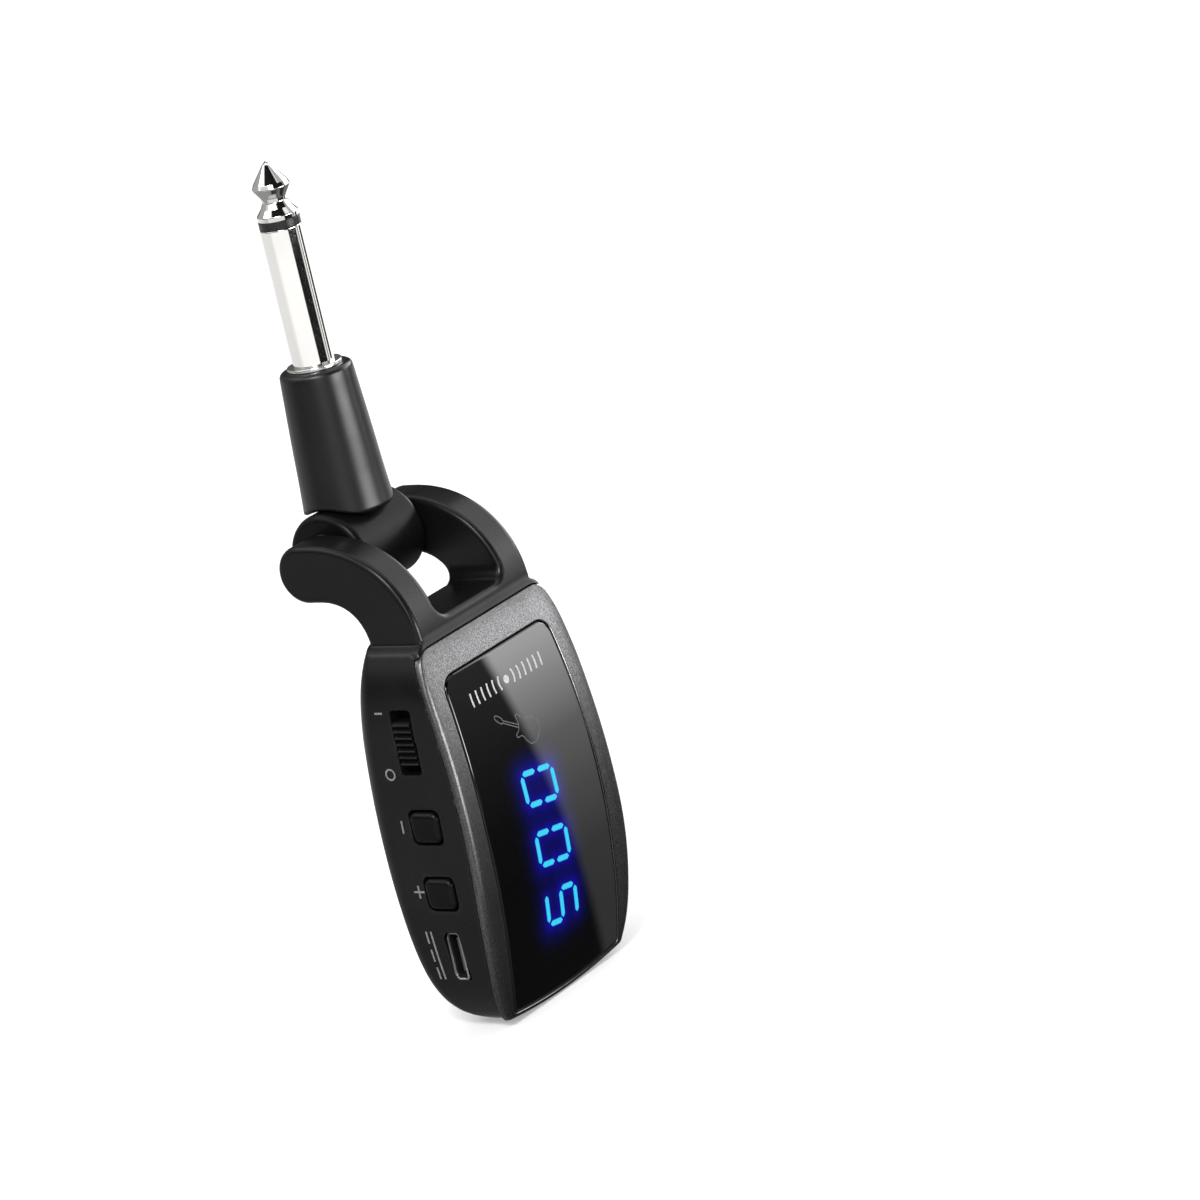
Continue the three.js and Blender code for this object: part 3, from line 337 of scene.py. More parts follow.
def housing_field(x, y, z):
    """Hollow shell with both yoke arms, the cover's seat and the openings in the left wall."""
    side = np.abs(x)
    shell = body_form(x, y, z, 0.0, 0.0, -PACK_LENGTH, 0.0, FOOT_EDGE)
    shell = np.maximum(shell, meet(side - half_at(z), z, SHOULDER_RADIUS))
    yoke = meet(yoke_profile(y, z), side - YOKE_HALF_WIDTH, ARM_EDGE)
    shell = either(shell, yoke, 0.25)
    slot = rectangle(x, z - (SLOT_FLOOR + SLOT_REACH), SLOT_HALF, SLOT_REACH, SLOT_CORNER)
    shell = less(shell, slot, SLOT_EDGE)
    hollow = body_form(x, y, z, WALL, COVER_THICKNESS - 0.2, WALL_BELOW - PACK_LENGTH, HOLLOW_TOP, 0.4)
    for boss_x, boss_z in BOSSES:
        post = np.hypot(x - boss_x, z - boss_z) - POST_RADIUS
        hollow = less(hollow, np.maximum(post, POST_FRONT - y))
    shell = less(shell, hollow)
    seat = meet(side - (half_at(z) - RIM), z + RIM, 1.3)
    seat = meet(seat, RIM_BOTTOM + lower_edge(x) - z, 1.0)
    shell = less(shell, np.maximum(seat, y - front_at(z) - COVER_THICKNESS - SEAT_GAP))
    lap = meet(side - half_at(z) - 0.3, z + RIM, COVER_CORNER + 0.5)
    shell = less(shell, np.maximum(y - front_at(z) - COVER_LAP - LAP_GAP, lap), 0.1)
    for spec, corner in ((SWITCH, 0.6), (MINUS, 1.2), (PLUS, 1.2)):
        shell = less(shell, wall_opening(x, y, z, spec, corner), OPENING_EDGE)
    shell = less(shell, np.maximum(port_hole(y, z), x - OPENING_END), 0.12)
    bore = np.hypot(y - HINGE_Y, z - HINGE_Z) - PIN_RADIUS - SEAT_GAP
    return less(shell, np.maximum(bore, side - PIN_REACH))


# ------------------------------------------------------------------ meshes
def new_object(name, points, faces, smooth_angle=35.0):
    """A mesh object in the row frame; faces is an array or a list of corner lists."""
    mesh = bpy.data.meshes.new(name)
    mesh.from_pydata(to_frame(points).tolist(), [], [list(map(int, f)) for f in faces])
    mesh.validate()
    mesh.update()
    mesh.shade_smooth()
    mesh.set_sharp_from_angle(angle=math.radians(smooth_angle))
    piece = bpy.data.objects.new(name, mesh)
    bpy.context.scene.collection.objects.link(piece)
    return piece


def store(piece, name, values):
    """Writes one number on each point, for the materials to read."""
    attribute = piece.data.attributes.new(name, "FLOAT", "POINT")
    attribute.data.foreach_set("value", values.astype(np.float32))


def bridge(here, there, count, closed=True):
    """Quads between two rows of points, which start at the given numbers."""
    return [
        (here + k, here + (k + 1) % count, there + (k + 1) % count, there + k)
        for k in range(count if closed else count - 1)
    ]


def crossings(field, values, axes, axis, step):
    """Grid edges along one axis where the field changes sign: index, sign, point and normal."""
    near, far = [slice(None)] * 3, [slice(None)] * 3
    near[axis], far[axis] = slice(0, -1), slice(1, None)
    a, b = values[tuple(near)], values[tuple(far)]
    hit = np.argwhere((a < 0) != (b < 0))
    fa, fb = a[tuple(hit.T)].astype(float), b[tuple(hit.T)].astype(float)
    leaving = fa < 0
    base = np.stack([axes[k][hit[:, k]] for k in range(3)], 1)
    low, high = np.zeros(len(hit)), np.ones(len(hit))

    def point_at(share):
        point = base.copy()
        point[:, axis] += share * step
        return point

    for _ in range(2):
        share = low + (high - low) * fa / (fa - fb)
        value = field(*point_at(share).T)
        same = (value < 0) == leaving
        low, fa = np.where(same, share, low), np.where(same, value, fa)
        high, fb = np.where(same, high, share), np.where(same, fb, value)
    point = point_at(low + (high - low) * fa / (fa - fb + TINY))
    nudges = np.eye(3) * 0.02
    normal = np.stack([field(*(point + n).T) - field(*(point - n).T) for n in nudges], 1)
    normal /= np.linalg.norm(normal, axis=1, keepdims=True) + TINY
    return hit, leaving, point, normal


def contour(name, field, low, high, step):
    """Closed mesh of field < 0 by dual contouring, which keeps crisp edges and smooth fillets."""
    axes = [np.arange(l, h + step, step) for l, h in zip(low, high)]
    grid_y, grid_z = np.meshgrid(axes[1], axes[2], indexing="ij")
    layers = [field(np.full_like(grid_y, x), grid_y, grid_z) for x in axes[0]]
    values = np.stack(layers).astype(np.float32)
    stride = np.array([values.shape[1] * values.shape[2], values.shape[2], 1])
    ids, points, normals, flip = [], [], [], []
    for axis in range(3):
        hit, leaving, point, normal = crossings(field, values, axes, axis, step)
        around = np.zeros((4, 3), int)
        around[:, (axis + 1) % 3] = (-1, 0, 0, -1)
        around[:, (axis + 2) % 3] = (-1, -1, 0, 0)
        ids.append((hit[:, None, :] + around) @ stride)
        points.append(point)
        normals.append(normal)
        flip.append(~leaving)
    points, normals, flip = np.vstack(points), np.vstack(normals), np.concatenate(flip)
    cells, index = np.unique(np.vstack(ids).ravel(), return_inverse=True)
    index = index.ravel()
    which = np.repeat(np.arange(len(points)), 4)

    def gather(weights):
        return np.bincount(index, weights=weights[which], minlength=len(cells))

    number = np.bincount(index, minlength=len(cells))
    middle = np.stack([gather(points[:, k]) for k in range(3)], 1) / number[:, None]
    pull = (normals * points).sum(1)
    matrix = np.stack([
        np.stack([gather(normals[:, r] * normals[:, s]) for s in range(3)], 1) for r in range(3)
    ], 1)
    right = np.stack([gather(normals[:, r] * pull) for r in range(3)], 1)
    right -= np.einsum("nij,nj->ni", matrix, middle)
    matrix += np.eye(3) * 0.04 * number[:, None, None]
    move = np.linalg.solve(matrix, right[:, :, None])[:, :, 0]
    length = np.linalg.norm(move, axis=1, keepdims=True)
    move *= np.minimum(1, 1.2 * step / (length + TINY))
    quads = index.reshape(-1, 4)
    quads[flip] = quads[flip][:, ::-1]
    return new_object(name, middle + move, quads)


def rounded_profile(corners):
    """Closed polyline of (r, z, fillet) corners with round fillets and support points beside them."""
    out = []
    for i, (r, z, fillet) in enumerate(corners):
        here = np.array([r, z], float)
        if fillet <= 0:
            out.append(here)
            continue
        before = np.array(corners[i - 1][:2], float) - here
        after = np.array(corners[(i + 1) % len(corners)][:2], float) - here
        lb, la = np.linalg.norm(before), np.linalg.norm(after)
        ub, ua = before / lb, after / la
        angle = math.acos(max(-1.0, min(1.0, float(ub @ ua))))
        run = min(fillet / math.tan(angle / 2), 0.48 * lb, 0.48 * la)
        support = min(0.12, 0.25 * run + 0.02)
        if run + support < 0.5 * lb:
            out.append(here + ub * (run + support))
        for t in np.arange(7) / 6:
            out.append(here + ub * run * (1 - t) ** 2 + ua * run * t**2)
        if run + support < 0.5 * la:
            out.append(here + ua * (run + support))
    return np.array(out)


def turned(name, corners, segments=128):
    """A body turned about the plug's axis from a closed profile, which may touch the axis."""
    turn = np.radians(np.arange(segments) * 360 / segments)
    rows, points = [], []
    for r, z in rounded_profile(corners):
        if r < 1e-6:
            rows.append([len(points)] * segments)
            points.append((0, HINGE_Y, z))
            continue
        rows.append(list(range(len(points), len(points) + segments)))
        points += [(r * math.cos(a), HINGE_Y + r * math.sin(a), z) for a in turn]
    faces = []
    for low, high in zip(rows, rows[1:] + rows[:1]):
        for k in range(segments):
            n = (k + 1) % segments
            corner = [low[k], low[n], high[n], high[k]]
            face = [v for i, v in enumerate(corner) if v != corner[i - 1]]
            if len(face) > 2:
                faces.append(face)
    return new_object(name, points, faces, 50.0)


def ring_loft(name, rings):
    """Closed tube of quads through rings of equal length, the last joined to the first."""
    count = len(rings[0])
    faces = []
    for row in range(len(rings)):
        faces += bridge(row * count, (row + 1) % len(rings) * count, count)
    return new_object(name, np.vstack(rings), faces, 40.0)


# ------------------------------------------------------------------ outlines on the front
def corner_curve(a, corner, b, steps):
    """Round corner from a to b."""
    a, corner, b = (np.array(p, float) for p in (a, corner, b))
    k = 0.5523
    return bezier(a, a + (corner - a) * k, b + (corner - b) * k, b, steps)


def front_outline(side, top, foot, corner_top, corner_foot):
    """Closed outline in X and Z; side(z) is the half width and foot(x) the height of the lower edge."""
    z0, z1 = top - corner_top, foot(side(-58.0)) + corner_foot
    heights = z0 + (z1 - z0) * np.linspace(0, 1, 110)
    left = np.stack([-side(heights), heights], 1)
    top_end = (-side(top) + corner_top, top)
    edge_top = np.stack([np.linspace(0, top_end[0], 26), np.full(26, top)], 1)
    foot_x = -side(z1 - corner_foot * 0.5) + corner_foot
    xs = np.linspace(foot_x, 0, 40)
    edge_foot = np.stack([xs, foot(xs)], 1)
    turn_top = corner_curve(edge_top[-1], (-side(top), top), left[0], 9)
    corner = (-side(z1 - corner_foot), foot(foot_x - corner_foot * 0.6))
    turn_foot = corner_curve(left[-1], corner, edge_foot[0], 9)
    half = np.vstack([edge_top[:-1], turn_top[:-1], left[:-1], turn_foot[:-1], edge_foot])
    mirrored = half[-2:0:-1] * [-1, 1]
    return np.vstack([half, mirrored])


def cover_outline(inset):
    """Outline of the cover; the inset takes less off its top, its foot and near the shoulders."""
    def side(z):
        return half_at(z) - COVER_GAP - inset * (0.5 + 0.5 * ramp(-z, 1.5, 9.0))

    def foot(x):
        return COVER_GAP + inset * FOOT_SHARE + lower_edge(x)

    top = -RIM - COVER_GAP - inset * TOP_SHARE
    return front_outline(side, top, foot, COVER_CORNER - 0.5 * inset, max(1.3 - COVER_GAP - inset, 0.35))


LENS_TOP, LENS_FOOT, LENS_CORNER = -6.5, 1.2, 2.7
LENS_HALF = (13.6, 14.5, 13.8)
LENS_PROUD = 0.07


def lens_outline(grow=0.0):
    """Outline of the display window."""
    top, mid, low = (h + grow for h in LENS_HALF)
    z0 = LENS_TOP - LENS_CORNER
    z1 = LENS_FOOT - grow + lower_edge(low)

    def side(z):
        t = np.clip((z - z0) / (z1 - z0), 0, 1)
        return (1 - t) ** 2 * top + 2 * t * (1 - t) * (2 * mid - (top + low) / 2) + t**2 * low

    def foot(x):
        return LENS_FOOT - grow - 0.05 + lower_edge(x)

    return front_outline(side, LENS_TOP + grow, foot, LENS_CORNER + grow, max(0.7 + grow, 0.2))


def on_front(outline, depth):
    """Outline laid at a depth behind the bowed front."""
    return np.stack([outline[:, 0], front_at(outline[:, 1]) + depth, outline[:, 1]], 1)


# ------------------------------------------------------------------ materials
EDGE_WEAR = 0.35            # how much of the rubbed tone shows on an edge


def nodes_of(name):
    """A new material, its node tree and its shader."""
    material = bpy.data.materials.new(name)
    material.use_nodes = True
    return material, material.node_tree, material.node_tree.nodes["Principled BSDF"]


def feed(tree, socket, value):
    """Links an input to another node's output, or sets it to a plain value."""
    if isinstance(value, bpy.types.NodeSocket):
        tree.links.new(value, socket)
    else:
        socket.default_value = value


def fill(tree, node, **inputs):
    """Feeds a node's inputs by name."""
    for key, value in inputs.items():
        feed(tree, node.inputs[key.replace("_", " ")], value)


def add(tree, kind, **settings):
    """A new node; a setting that starts with in_ is one of its inputs."""
    node = tree.nodes.new(kind)
    for key, value in settings.items():
        if key.startswith("in_"):
            fill(tree, node, **{key[3:]: value})
        else:
            setattr(node, key, value)
    return node


def maths(tree, operation, *values):
    node = add(tree, "ShaderNodeMath", operation=operation)
    for socket, value in zip(node.inputs, values):
        feed(tree, socket, value)
    return node.outputs[0]


def stored(tree, name):
    """A number that store() wrote on the points."""
    return add(tree, "ShaderNodeAttribute", attribute_name=name).outputs["Fac"]


def noise(tree, scale, detail=2.0, roughness=0.5, stretch=None):
    """Noise in the piece's own space, which can be scaled along each axis."""
    place = add(tree, "ShaderNodeTexCoord").outputs["Object"]
    if stretch:
        place = add(tree, "ShaderNodeMapping", in_Scale=stretch, in_Vector=place).outputs["Vector"]
    texture = add(
        tree, "ShaderNodeTexNoise", in_Vector=place,
        in_Scale=scale, in_Detail=detail, in_Roughness=roughness,
    )
    return texture.outputs["Fac"]


def spread(tree, value, low, high, from_low=0.3, from_high=0.7):
    """Maps a value's range to another range."""
    node = add(
        tree, "ShaderNodeMapRange", in_Value=value,
        in_From_Min=from_low, in_From_Max=from_high, in_To_Min=low, in_To_Max=high,
    )
    return node.outputs["Result"]


def blend_colour(tree, share, first, second):
    """Mixes two colours; the first can come from another node."""
    node = add(tree, "ShaderNodeMix", data_type="RGBA", in_Factor=share)
    for socket, colour in zip(node.inputs[6:8], (first, second)):
        feed(tree, socket, (*colour, 1) if isinstance(colour, tuple) else colour)
    return node.outputs[2]


def worn_edges(tree):
    """How far a place stands out of its surroundings, from 0 to 1."""
    shape = add(tree, "ShaderNodeNewGeometry")
    return spread(tree, shape.outputs["Pointiness"], 0.0, 1.0, 0.515, 0.57)


def bump(tree, height, distance, strength):
    node = add(tree, "ShaderNodeBump", in_Height=height, in_Strength=strength, in_Distance=distance)
    return node.outputs["Normal"]


def plastic(name, colour, rough, specular, grain=2600.0, relief=0.25):
    """Moulded plastic: fine spark-eroded grain, patchy sheen and edges rubbed a little lighter."""
    material, tree, shader = nodes_of(name)
    lighter = tuple(min(1.0, c * 1.35 + 0.002) for c in colour)
    rubbed = tuple(min(1.0, c * 2.4 + 0.006) for c in colour)
    base = blend_colour(tree, spread(tree, noise(tree, 55.0, 3.0), 0.0, 0.5), colour, lighter)
    worn = maths(tree, "MULTIPLY", worn_edges(tree), EDGE_WEAR)
    fill(
        tree, shader, Specular_IOR_Level=specular, Base_Color=blend_colour(tree, worn, base, rubbed),
        Roughness=spread(tree, noise(tree, 160.0, 4.0), rough - 0.035, rough + 0.035),
        Normal=bump(tree, noise(tree, grain, 3.0, 0.6), 0.00003, relief),
    )
    return material


def metal(name, colour, rough, grooves=0.0, relief=0.1):
    """Bare or plated metal with faint handling haze and, with grooves, turning marks round the axis."""
    material, tree, shader = nodes_of(name)
    haze = noise(tree, 90.0, 4.0)
    darker = tuple(c * 0.96 for c in colour)
    height = noise(tree, 1.0, 3.0, stretch=(60, 60, grooves)) if grooves else noise(tree, 1500.0)
    fill(
        tree, shader, Metallic=1.0,
        Base_Color=blend_colour(tree, spread(tree, haze, 0.0, 1.0), colour, darker),
        Roughness=spread(tree, haze, rough * 0.8, rough * 1.3),
        Normal=bump(tree, height, 0.00001, relief),
    )
    return material


def metallic_paint():
    """Satin grey lacquer with fine metal flakes, rougher on the cover's rolled edge."""
    material, tree, shader = nodes_of("satin_grey_lacquer")
    flakes = noise(tree, 4200.0, 3.0, 0.8)
    share = spread(tree, flakes, 0.0, 1.0, 0.38, 0.62)
    satin = spread(tree, noise(tree, 120.0, 3.0), 0.14, 0.18)
    fill(
        tree, shader, Metallic=1.0,
        Base_Color=blend_colour(tree, share, (0.070, 0.070, 0.072), (0.172, 0.172, 0.175)),
        Roughness=maths(tree, "MULTIPLY_ADD", stored(tree, "edge"), 0.22, satin),
        Normal=bump(tree, flakes, 0.00002, 0.2),
    )
    return material


def window_gloss():
    """Smoked window: deep gloss black, with the blue glow of the lit digits spread inside it."""
    material, tree, shader = nodes_of("smoked_window")
    share = spread(tree, stored(tree, "glow"), 0.0, 1.0, 0.0, 1.0)
    fill(
        tree, shader, Base_Color=(0.0012, 0.0012, 0.0015, 1), Emission_Strength=1.0,
        Roughness=spread(tree, noise(tree, 70.0, 4.0), 0.003, 0.007),
        Emission_Color=blend_colour(tree, share, (0, 0, 0), (0.010, 0.006, 0.80)),
    )
    return material


def lit_segments():
    """Display segments, brightest along their middle."""
    material, tree, shader = nodes_of("lit_segments")
    share = stored(tree, "heart")
    fill(
        tree, shader, Base_Color=(0.01, 0.05, 0.10, 1), Emission_Strength=1.0,
        Roughness=spread(tree, noise(tree, 900.0), 0.2, 0.35),
        Emission_Color=blend_colour(tree, share, (0.0, 0.24, 0.90), (0.018, 0.60, 0.74)),
    )
    return material


def ink(name, colour):
    """Screen-printed ink, slightly uneven."""
    material, tree, shader = nodes_of(name)
    speckle = noise(tree, 3500.0, 3.0, 0.65)
    thin = tuple(c * 0.62 for c in colour)
    fill(
        tree, shader, Specular_IOR_Level=0.25,
        Base_Color=blend_colour(tree, spread(tree, speckle, 0.0, 1.0, 0.32, 0.6), thin, colour),
        Roughness=spread(tree, speckle, 0.45, 0.62), Normal=bump(tree, speckle, 0.00002, 0.2),
    )
    return material


HOUSING_BLACK = plastic("housing_plastic", (0.0040, 0.0040, 0.0043), 0.29, 0.26)
HINGE_BLACK = plastic("hinge_plastic", (0.0032, 0.0032, 0.0034), 0.33, 0.13, relief=0.12)
COLLAR_BLACK = plastic("collar_plastic", (0.0030, 0.0030, 0.0032), 0.35, 0.48, relief=0.12)
BUTTON_BLACK = plastic("button_plastic", (0.0020, 0.0020, 0.0022), 0.30, 0.16, relief=0.15)
SLIDER_BLACK = plastic("slider_plastic", (0.0028, 0.0028, 0.0030), 0.36, 0.17, relief=0.2)
RING_BLACK = plastic("ring_plastic", (0.010, 0.010, 0.010), 0.28, 0.4, relief=0.08)
TONGUE_BLACK = plastic("tongue_plastic", (0.045, 0.045, 0.047), 0.45, 0.5)
LACQUER = metallic_paint()
WINDOW = window_gloss()
LIT = lit_segments()
SHOULDER_NICKEL = metal("satin_nickel", (0.70, 0.69, 0.67), 0.22)
NICKEL = metal("bright_nickel", (0.88, 0.87, 0.845), 0.07, grooves=2200.0, relief=0.03)
PORT_STEEL = metal("port_steel", (0.34, 0.34, 0.345), 0.3)
INK_GREY = ink("print_grey", (0.20, 0.207, 0.212))
INK_LIGHT = ink("print_light", (0.55, 0.56, 0.57))
INK_DIM = ink("print_dim", (0.13, 0.135, 0.145))


def dress(piece, material, body, slot, *nodes):
    """Gives a piece its material and its body and hides the CAD nodes it stands for; slot is not used."""
    piece.data.materials.clear()
    piece.data.materials.append(material)
    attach(piece, body)
    if nodes:
        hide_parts(*nodes)
    return piece


# ------------------------------------------------------------------ housing, cover and window
FINE = 0.34
housing = contour("housing_shell", housing_field, (-20.6, -5.3, -62.6), (20.6, 25.0, 16.4), FINE)
dress(housing, HOUSING_BLACK, "pack", "housing_black", "rear_housing")


def make_cover():
    """Lacquered cover: a frame round the window with soft edges and a ledge under the window."""
    tuck, fillet, steps = 0.3, 1.05, 10
    slit, bevel, bevel_steps = 0.15, 0.2, 4

    def seat_foot(x):
        return RIM_BOTTOM + tuck + lower_edge(x)

    seat = front_outline(lambda z: half_at(z) - RIM - tuck, -RIM - tuck, seat_foot, 1.2, 1.0)
    rings = [on_front(seat, COVER_THICKNESS), on_front(seat, COVER_LAP)]
    rings.append(on_front(cover_outline(0.0), COVER_LAP))
    for k in range(1, steps + 1):
        angle = math.radians(90 * k / steps)
        outline = cover_outline(fillet * (1 - math.cos(angle)))
        rings.append(on_front(outline, COVER_LAP * (1 - math.sin(angle))))
    rolled = len(rings)
    outer = cover_outline(fillet + 0.1)
    wide = lens_outline(slit + bevel + 0.12)
    for share in (0.0, 0.25, 0.5, 0.75, 1.0):
        rings.append(on_front(outer + (wide - outer) * share, 0.0))
    for k in range(bevel_steps + 1):
        angle = math.radians(90 * k / bevel_steps)
        outline = lens_outline(slit + bevel * (1 - math.sin(angle)))
        rings.append(on_front(outline, bevel * (1 - math.cos(angle))))
    window, ledge = lens_outline(slit), lens_outline(-2.4)
    ledge_depth = LENS_THICKNESS + SEAT_GAP
    rings += [on_front(window, bevel + 0.08), on_front(window, ledge_depth)]
    rings += [on_front(ledge, ledge_depth), on_front(ledge, COVER_THICKNESS)]
    piece = ring_loft("front_plate", rings[::-1])
    rolled_share = np.zeros(len(rings))
    rolled_share[:rolled] = 1.0
    rolled_share[rolled:rolled + 3] = (0.75, 0.3, 0.05)
    store(piece, "edge", np.repeat(rolled_share[::-1], len(rings[0])))
    return piece


dress(make_cover(), LACQUER, "pack", "plate_grey", "front_cover")

# seven-segment digits: up is +X, reading runs down the pack
DIGIT_CENTRES = (-28.4, -38.0, -47.5)
DIGIT_TEXT = ("0", "0", "5")
LIT_BARS = {"0": "abcdef", "5": "acdfg"}
BAR_REACH, BAR_PITCH, SLANT = 3.65, 4.93, 0.158
BAR_WIDTH = 0.9
MARK_SUNK = 0.02            # how deep a mark's foot goes below the surface


def digit_bar(letter):
    """Ends of one segment in digit space: u to the right, w upwards."""
    r, h, gap = BAR_PITCH / 2, BAR_REACH, 0.66
    return {
        "a": ((-r + gap, h), (r - gap, h)),
        "g": ((-r + gap, 0), (r - gap, 0)),
        "d": ((-r + gap, -h), (r - gap, -h)),
        "f": ((-r, gap), (-r, h - gap)),
        "b": ((r, gap), (r, h - gap)),
        "e": ((-r, -h + gap), (-r, -gap)),
        "c": ((r, -h + gap), (r, -gap)),
    }[letter]


def digit_to_front(point, centre):
    u, w = point
    return np.array([w, centre - (u + SLANT * w)])


def bars_of(centre, text):
    """Ends of the lit segments of one digit, on the front."""
    return [[digit_to_front(end, centre) for end in digit_bar(letter)] for letter in LIT_BARS[text]]


def glow_at(x, z):
    """Blue light spread round the lit segments."""
    total = np.zeros_like(x)
    for centre, text in zip(DIGIT_CENTRES, DIGIT_TEXT):
        for a, b in bars_of(centre, text):
            away = to_segment(x, z, a, b)
            total += 0.20 * np.exp(-((away / 0.85) ** 2)) + 0.095 * np.exp(-((away / 2.3) ** 2))
    return np.clip(total, 0, 1)


def make_window():
    """Display window: one bowed sheet with a bevelled edge."""
    edge, steps = 0.3, 4
    rings = [on_front(lens_outline(), LENS_THICKNESS), on_front(lens_outline(), edge + 0.05)]
    for k in range(steps + 1):
        angle = math.radians(90 * k / steps)
        outline = lens_outline(-edge * (1 - math.cos(angle)))
        rings.append(on_front(outline, edge * (1 - math.sin(angle)) - LENS_PROUD))
    inner = lens_outline(-edge - 0.1)
    count = len(inner)
    pitch = 0.36
    grid = np.meshgrid(np.arange(-15, 15.01, pitch), np.arange(-61, -6, pitch))
    gx, gz = (g.ravel() for g in grid)
    inside = polygon(gx, gz, inner) < -0.45 * pitch
    plane = [Vector(p) for p in inner] + [Vector(p) for p in zip(gx[inside], gz[inside])]
    loop = [(k, (k + 1) % count) for k in range(count)]
    flat, _, fill, _, _, _ = geometry.delaunay_2d_cdt(plane, loop, [list(range(count))], 1, 1e-6)
    flat = np.array([tuple(p) for p in flat])
    points = np.vstack(rings + [on_front(flat, -LENS_PROUD)])
    faces = []
    for row in range(len(rings) - 1):
        faces += bridge(row * count, (row + 1) * count, count)
    base = len(rings) * count
    last = base - count
    nearest = [base + int(np.argmin(np.hypot(*(flat - p).T))) for p in inner]
    for k in range(count):
        n = (k + 1) % count
        faces.append((last + k, last + n, nearest[n], nearest[k]))

    def turn(corners):
        """Twice the signed area inside a closed loop."""
        return sum(a[0] * b[1] - b[0] * a[1] for a, b in zip(corners, np.roll(corners, -1, axis=0)))

    forward = turn(flat[list(fill[0])]) * turn(inner) > 0
    faces += [tuple(base + v for v in (face if forward else face[::-1])) for face in fill]
    faces.append(tuple(range(count))[::-1])
    piece = new_object("display_window", points, faces, 40)
    x, y, z = points.T
    store(piece, "glow", np.where(y < front_at(z) + 0.01, glow_at(x, z), 0.0))
    return piece


def outward(piece):
    """Turns the faces of a closed mesh outwards."""
    work = bmesh.new()
    work.from_mesh(piece.data)
    bmesh.ops.recalc_face_normals(work, faces=work.faces)
    work.to_mesh(piece.data)
    work.free()
    return piece


dress(outward(make_window()), WINDOW, "pack", "window_black", "display_lens")


# ------------------------------------------------------------------ thin marks on a surface
def on_window(u, v, height):
    return np.stack([u, front_at(v) - LENS_PROUD - height, v], -1)


def on_left_wall(u, v, height):
    return np.stack([-half_at(v) - height, u, v], -1)


def strip(path, width, surface, height):
    """Thin closed band of a given width along a path on a surface."""
    path = np.array(path, float)
    closed = np.hypot(*(path[0] - path[-1])) < 1e-6
    if closed:
        path = path[:-1]
        along = np.roll(path, -1, axis=0) - np.roll(path, 1, axis=0)
    else:
        step = np.diff(path, axis=0)
        along = np.vstack([step[:1], step[1:] + step[:-1], step[-1:]])
    along /= np.linalg.norm(along, axis=1, keepdims=True)
    side = np.stack([-along[:, 1], along[:, 0]], 1) * width / 2
    left, right = path + side, path - side
    rows = [surface(*left.T, -MARK_SUNK), surface(*left.T, height)]
    rows += [surface(*right.T, height), surface(*right.T, -MARK_SUNK)]
    count = len(path)
    faces = []
    for r in range(4):
        faces += bridge(r * count, (r + 1) % 4 * count, count, closed)
    if not closed:
        faces.append(tuple(r * count for r in range(4)))
        faces.append(tuple(r * count + count - 1 for r in reversed(range(4))))
    return np.vstack(rows), faces


def marks(name, parts, material, slot):
    """Joins strips into one thin piece."""
    points, faces = [], []
    for part_points, part_faces in parts:
        base = sum(len(p) for p in points)
        points.append(part_points)
        faces += [tuple(base + v for v in face) for face in part_faces]
    piece = outward(new_object(name, np.vstack(points), faces, 30))
    return dress(piece, material, "pack", slot)


def line(a, b, steps=8):
    share = np.linspace(0, 1, steps + 1)[:, None]
    return np.array(a) + (np.array(b) - np.array(a)) * share


def mark_heart(piece, bars):
    """Stores how near each point is to the middle of its segment."""
    co = np.array([vertex.co for vertex in piece.data.vertices]) * 1000 - SHIFT
    away = np.min([to_segment(co[:, 0], co[:, 2], a, b) for a, b in bars], axis=0)
    store(piece, "heart", np.clip(1.9 * (1 - away / (0.62 * BAR_WIDTH)), 0, 1))


def lit_strip(a, b, width, height):
    """One display segment: pointed ends, with rows across it that carry its brightness."""
    direction = (b - a) / np.linalg.norm(b - a)
    side = np.array([-direction[1], direction[0]])
    stretch = 0.36 * width
    stations = line(a - direction * stretch, b + direction * stretch, 20)
    run = np.linalg.norm(stations - stations[0], axis=1)
    wide = np.minimum(width / 2, np.minimum(run, run[-1] - run) + 0.02)
    rows = [stations + side * (wide * share)[:, None] for share in (-1.0, -0.5, 0.0, 0.5, 1.0)]
    levels = [on_window(*row.T, height) for row in rows]
    levels += [on_window(*row.T, -MARK_SUNK) for row in (rows[-1], rows[0])]
    count, total = len(stations), len(levels)
    faces = []
    for r in range(total):
        faces += bridge(r * count, (r + 1) % total * count, count, closed=False)
    faces.append(tuple(r * count for r in range(total)))
    faces.append(tuple(r * count + count - 1 for r in reversed(range(total))))
    return np.vstack(levels), faces


def make_digits():
    for number, (centre, text) in enumerate(zip(DIGIT_CENTRES, DIGIT_TEXT), 1):
        bars = bars_of(centre, text)
        parts = [lit_strip(a, b, BAR_WIDTH, 0.03) for a, b in bars]
        mark_heart(marks(f"digit_{number}", parts, LIT, "display_segments"), bars)


make_digits()


def smooth_path(points, closed=True, steps=10):
    """Catmull-Rom curve through points."""
    points = np.array(points, float)
    count = len(points)
    around = np.arange(-1, 3)
    out = []
    for i in range(count if closed else count - 1):
        p0, p1, p2, p3 = points[(i + around) % count if closed else np.clip(i + around, 0, count - 1)]
        for t in np.linspace(0, 1, steps, endpoint=False):
            square = (2 * p0 - 5 * p1 + 4 * p2 - p3) * t**2
            cube = (3 * p1 - p0 - 3 * p2 + p3) * t**3
            out.append(0.5 * (2 * p1 + (p2 - p0) * t + square + cube))
    out.append(out[0] if closed else points[-1])
    return np.array(out)


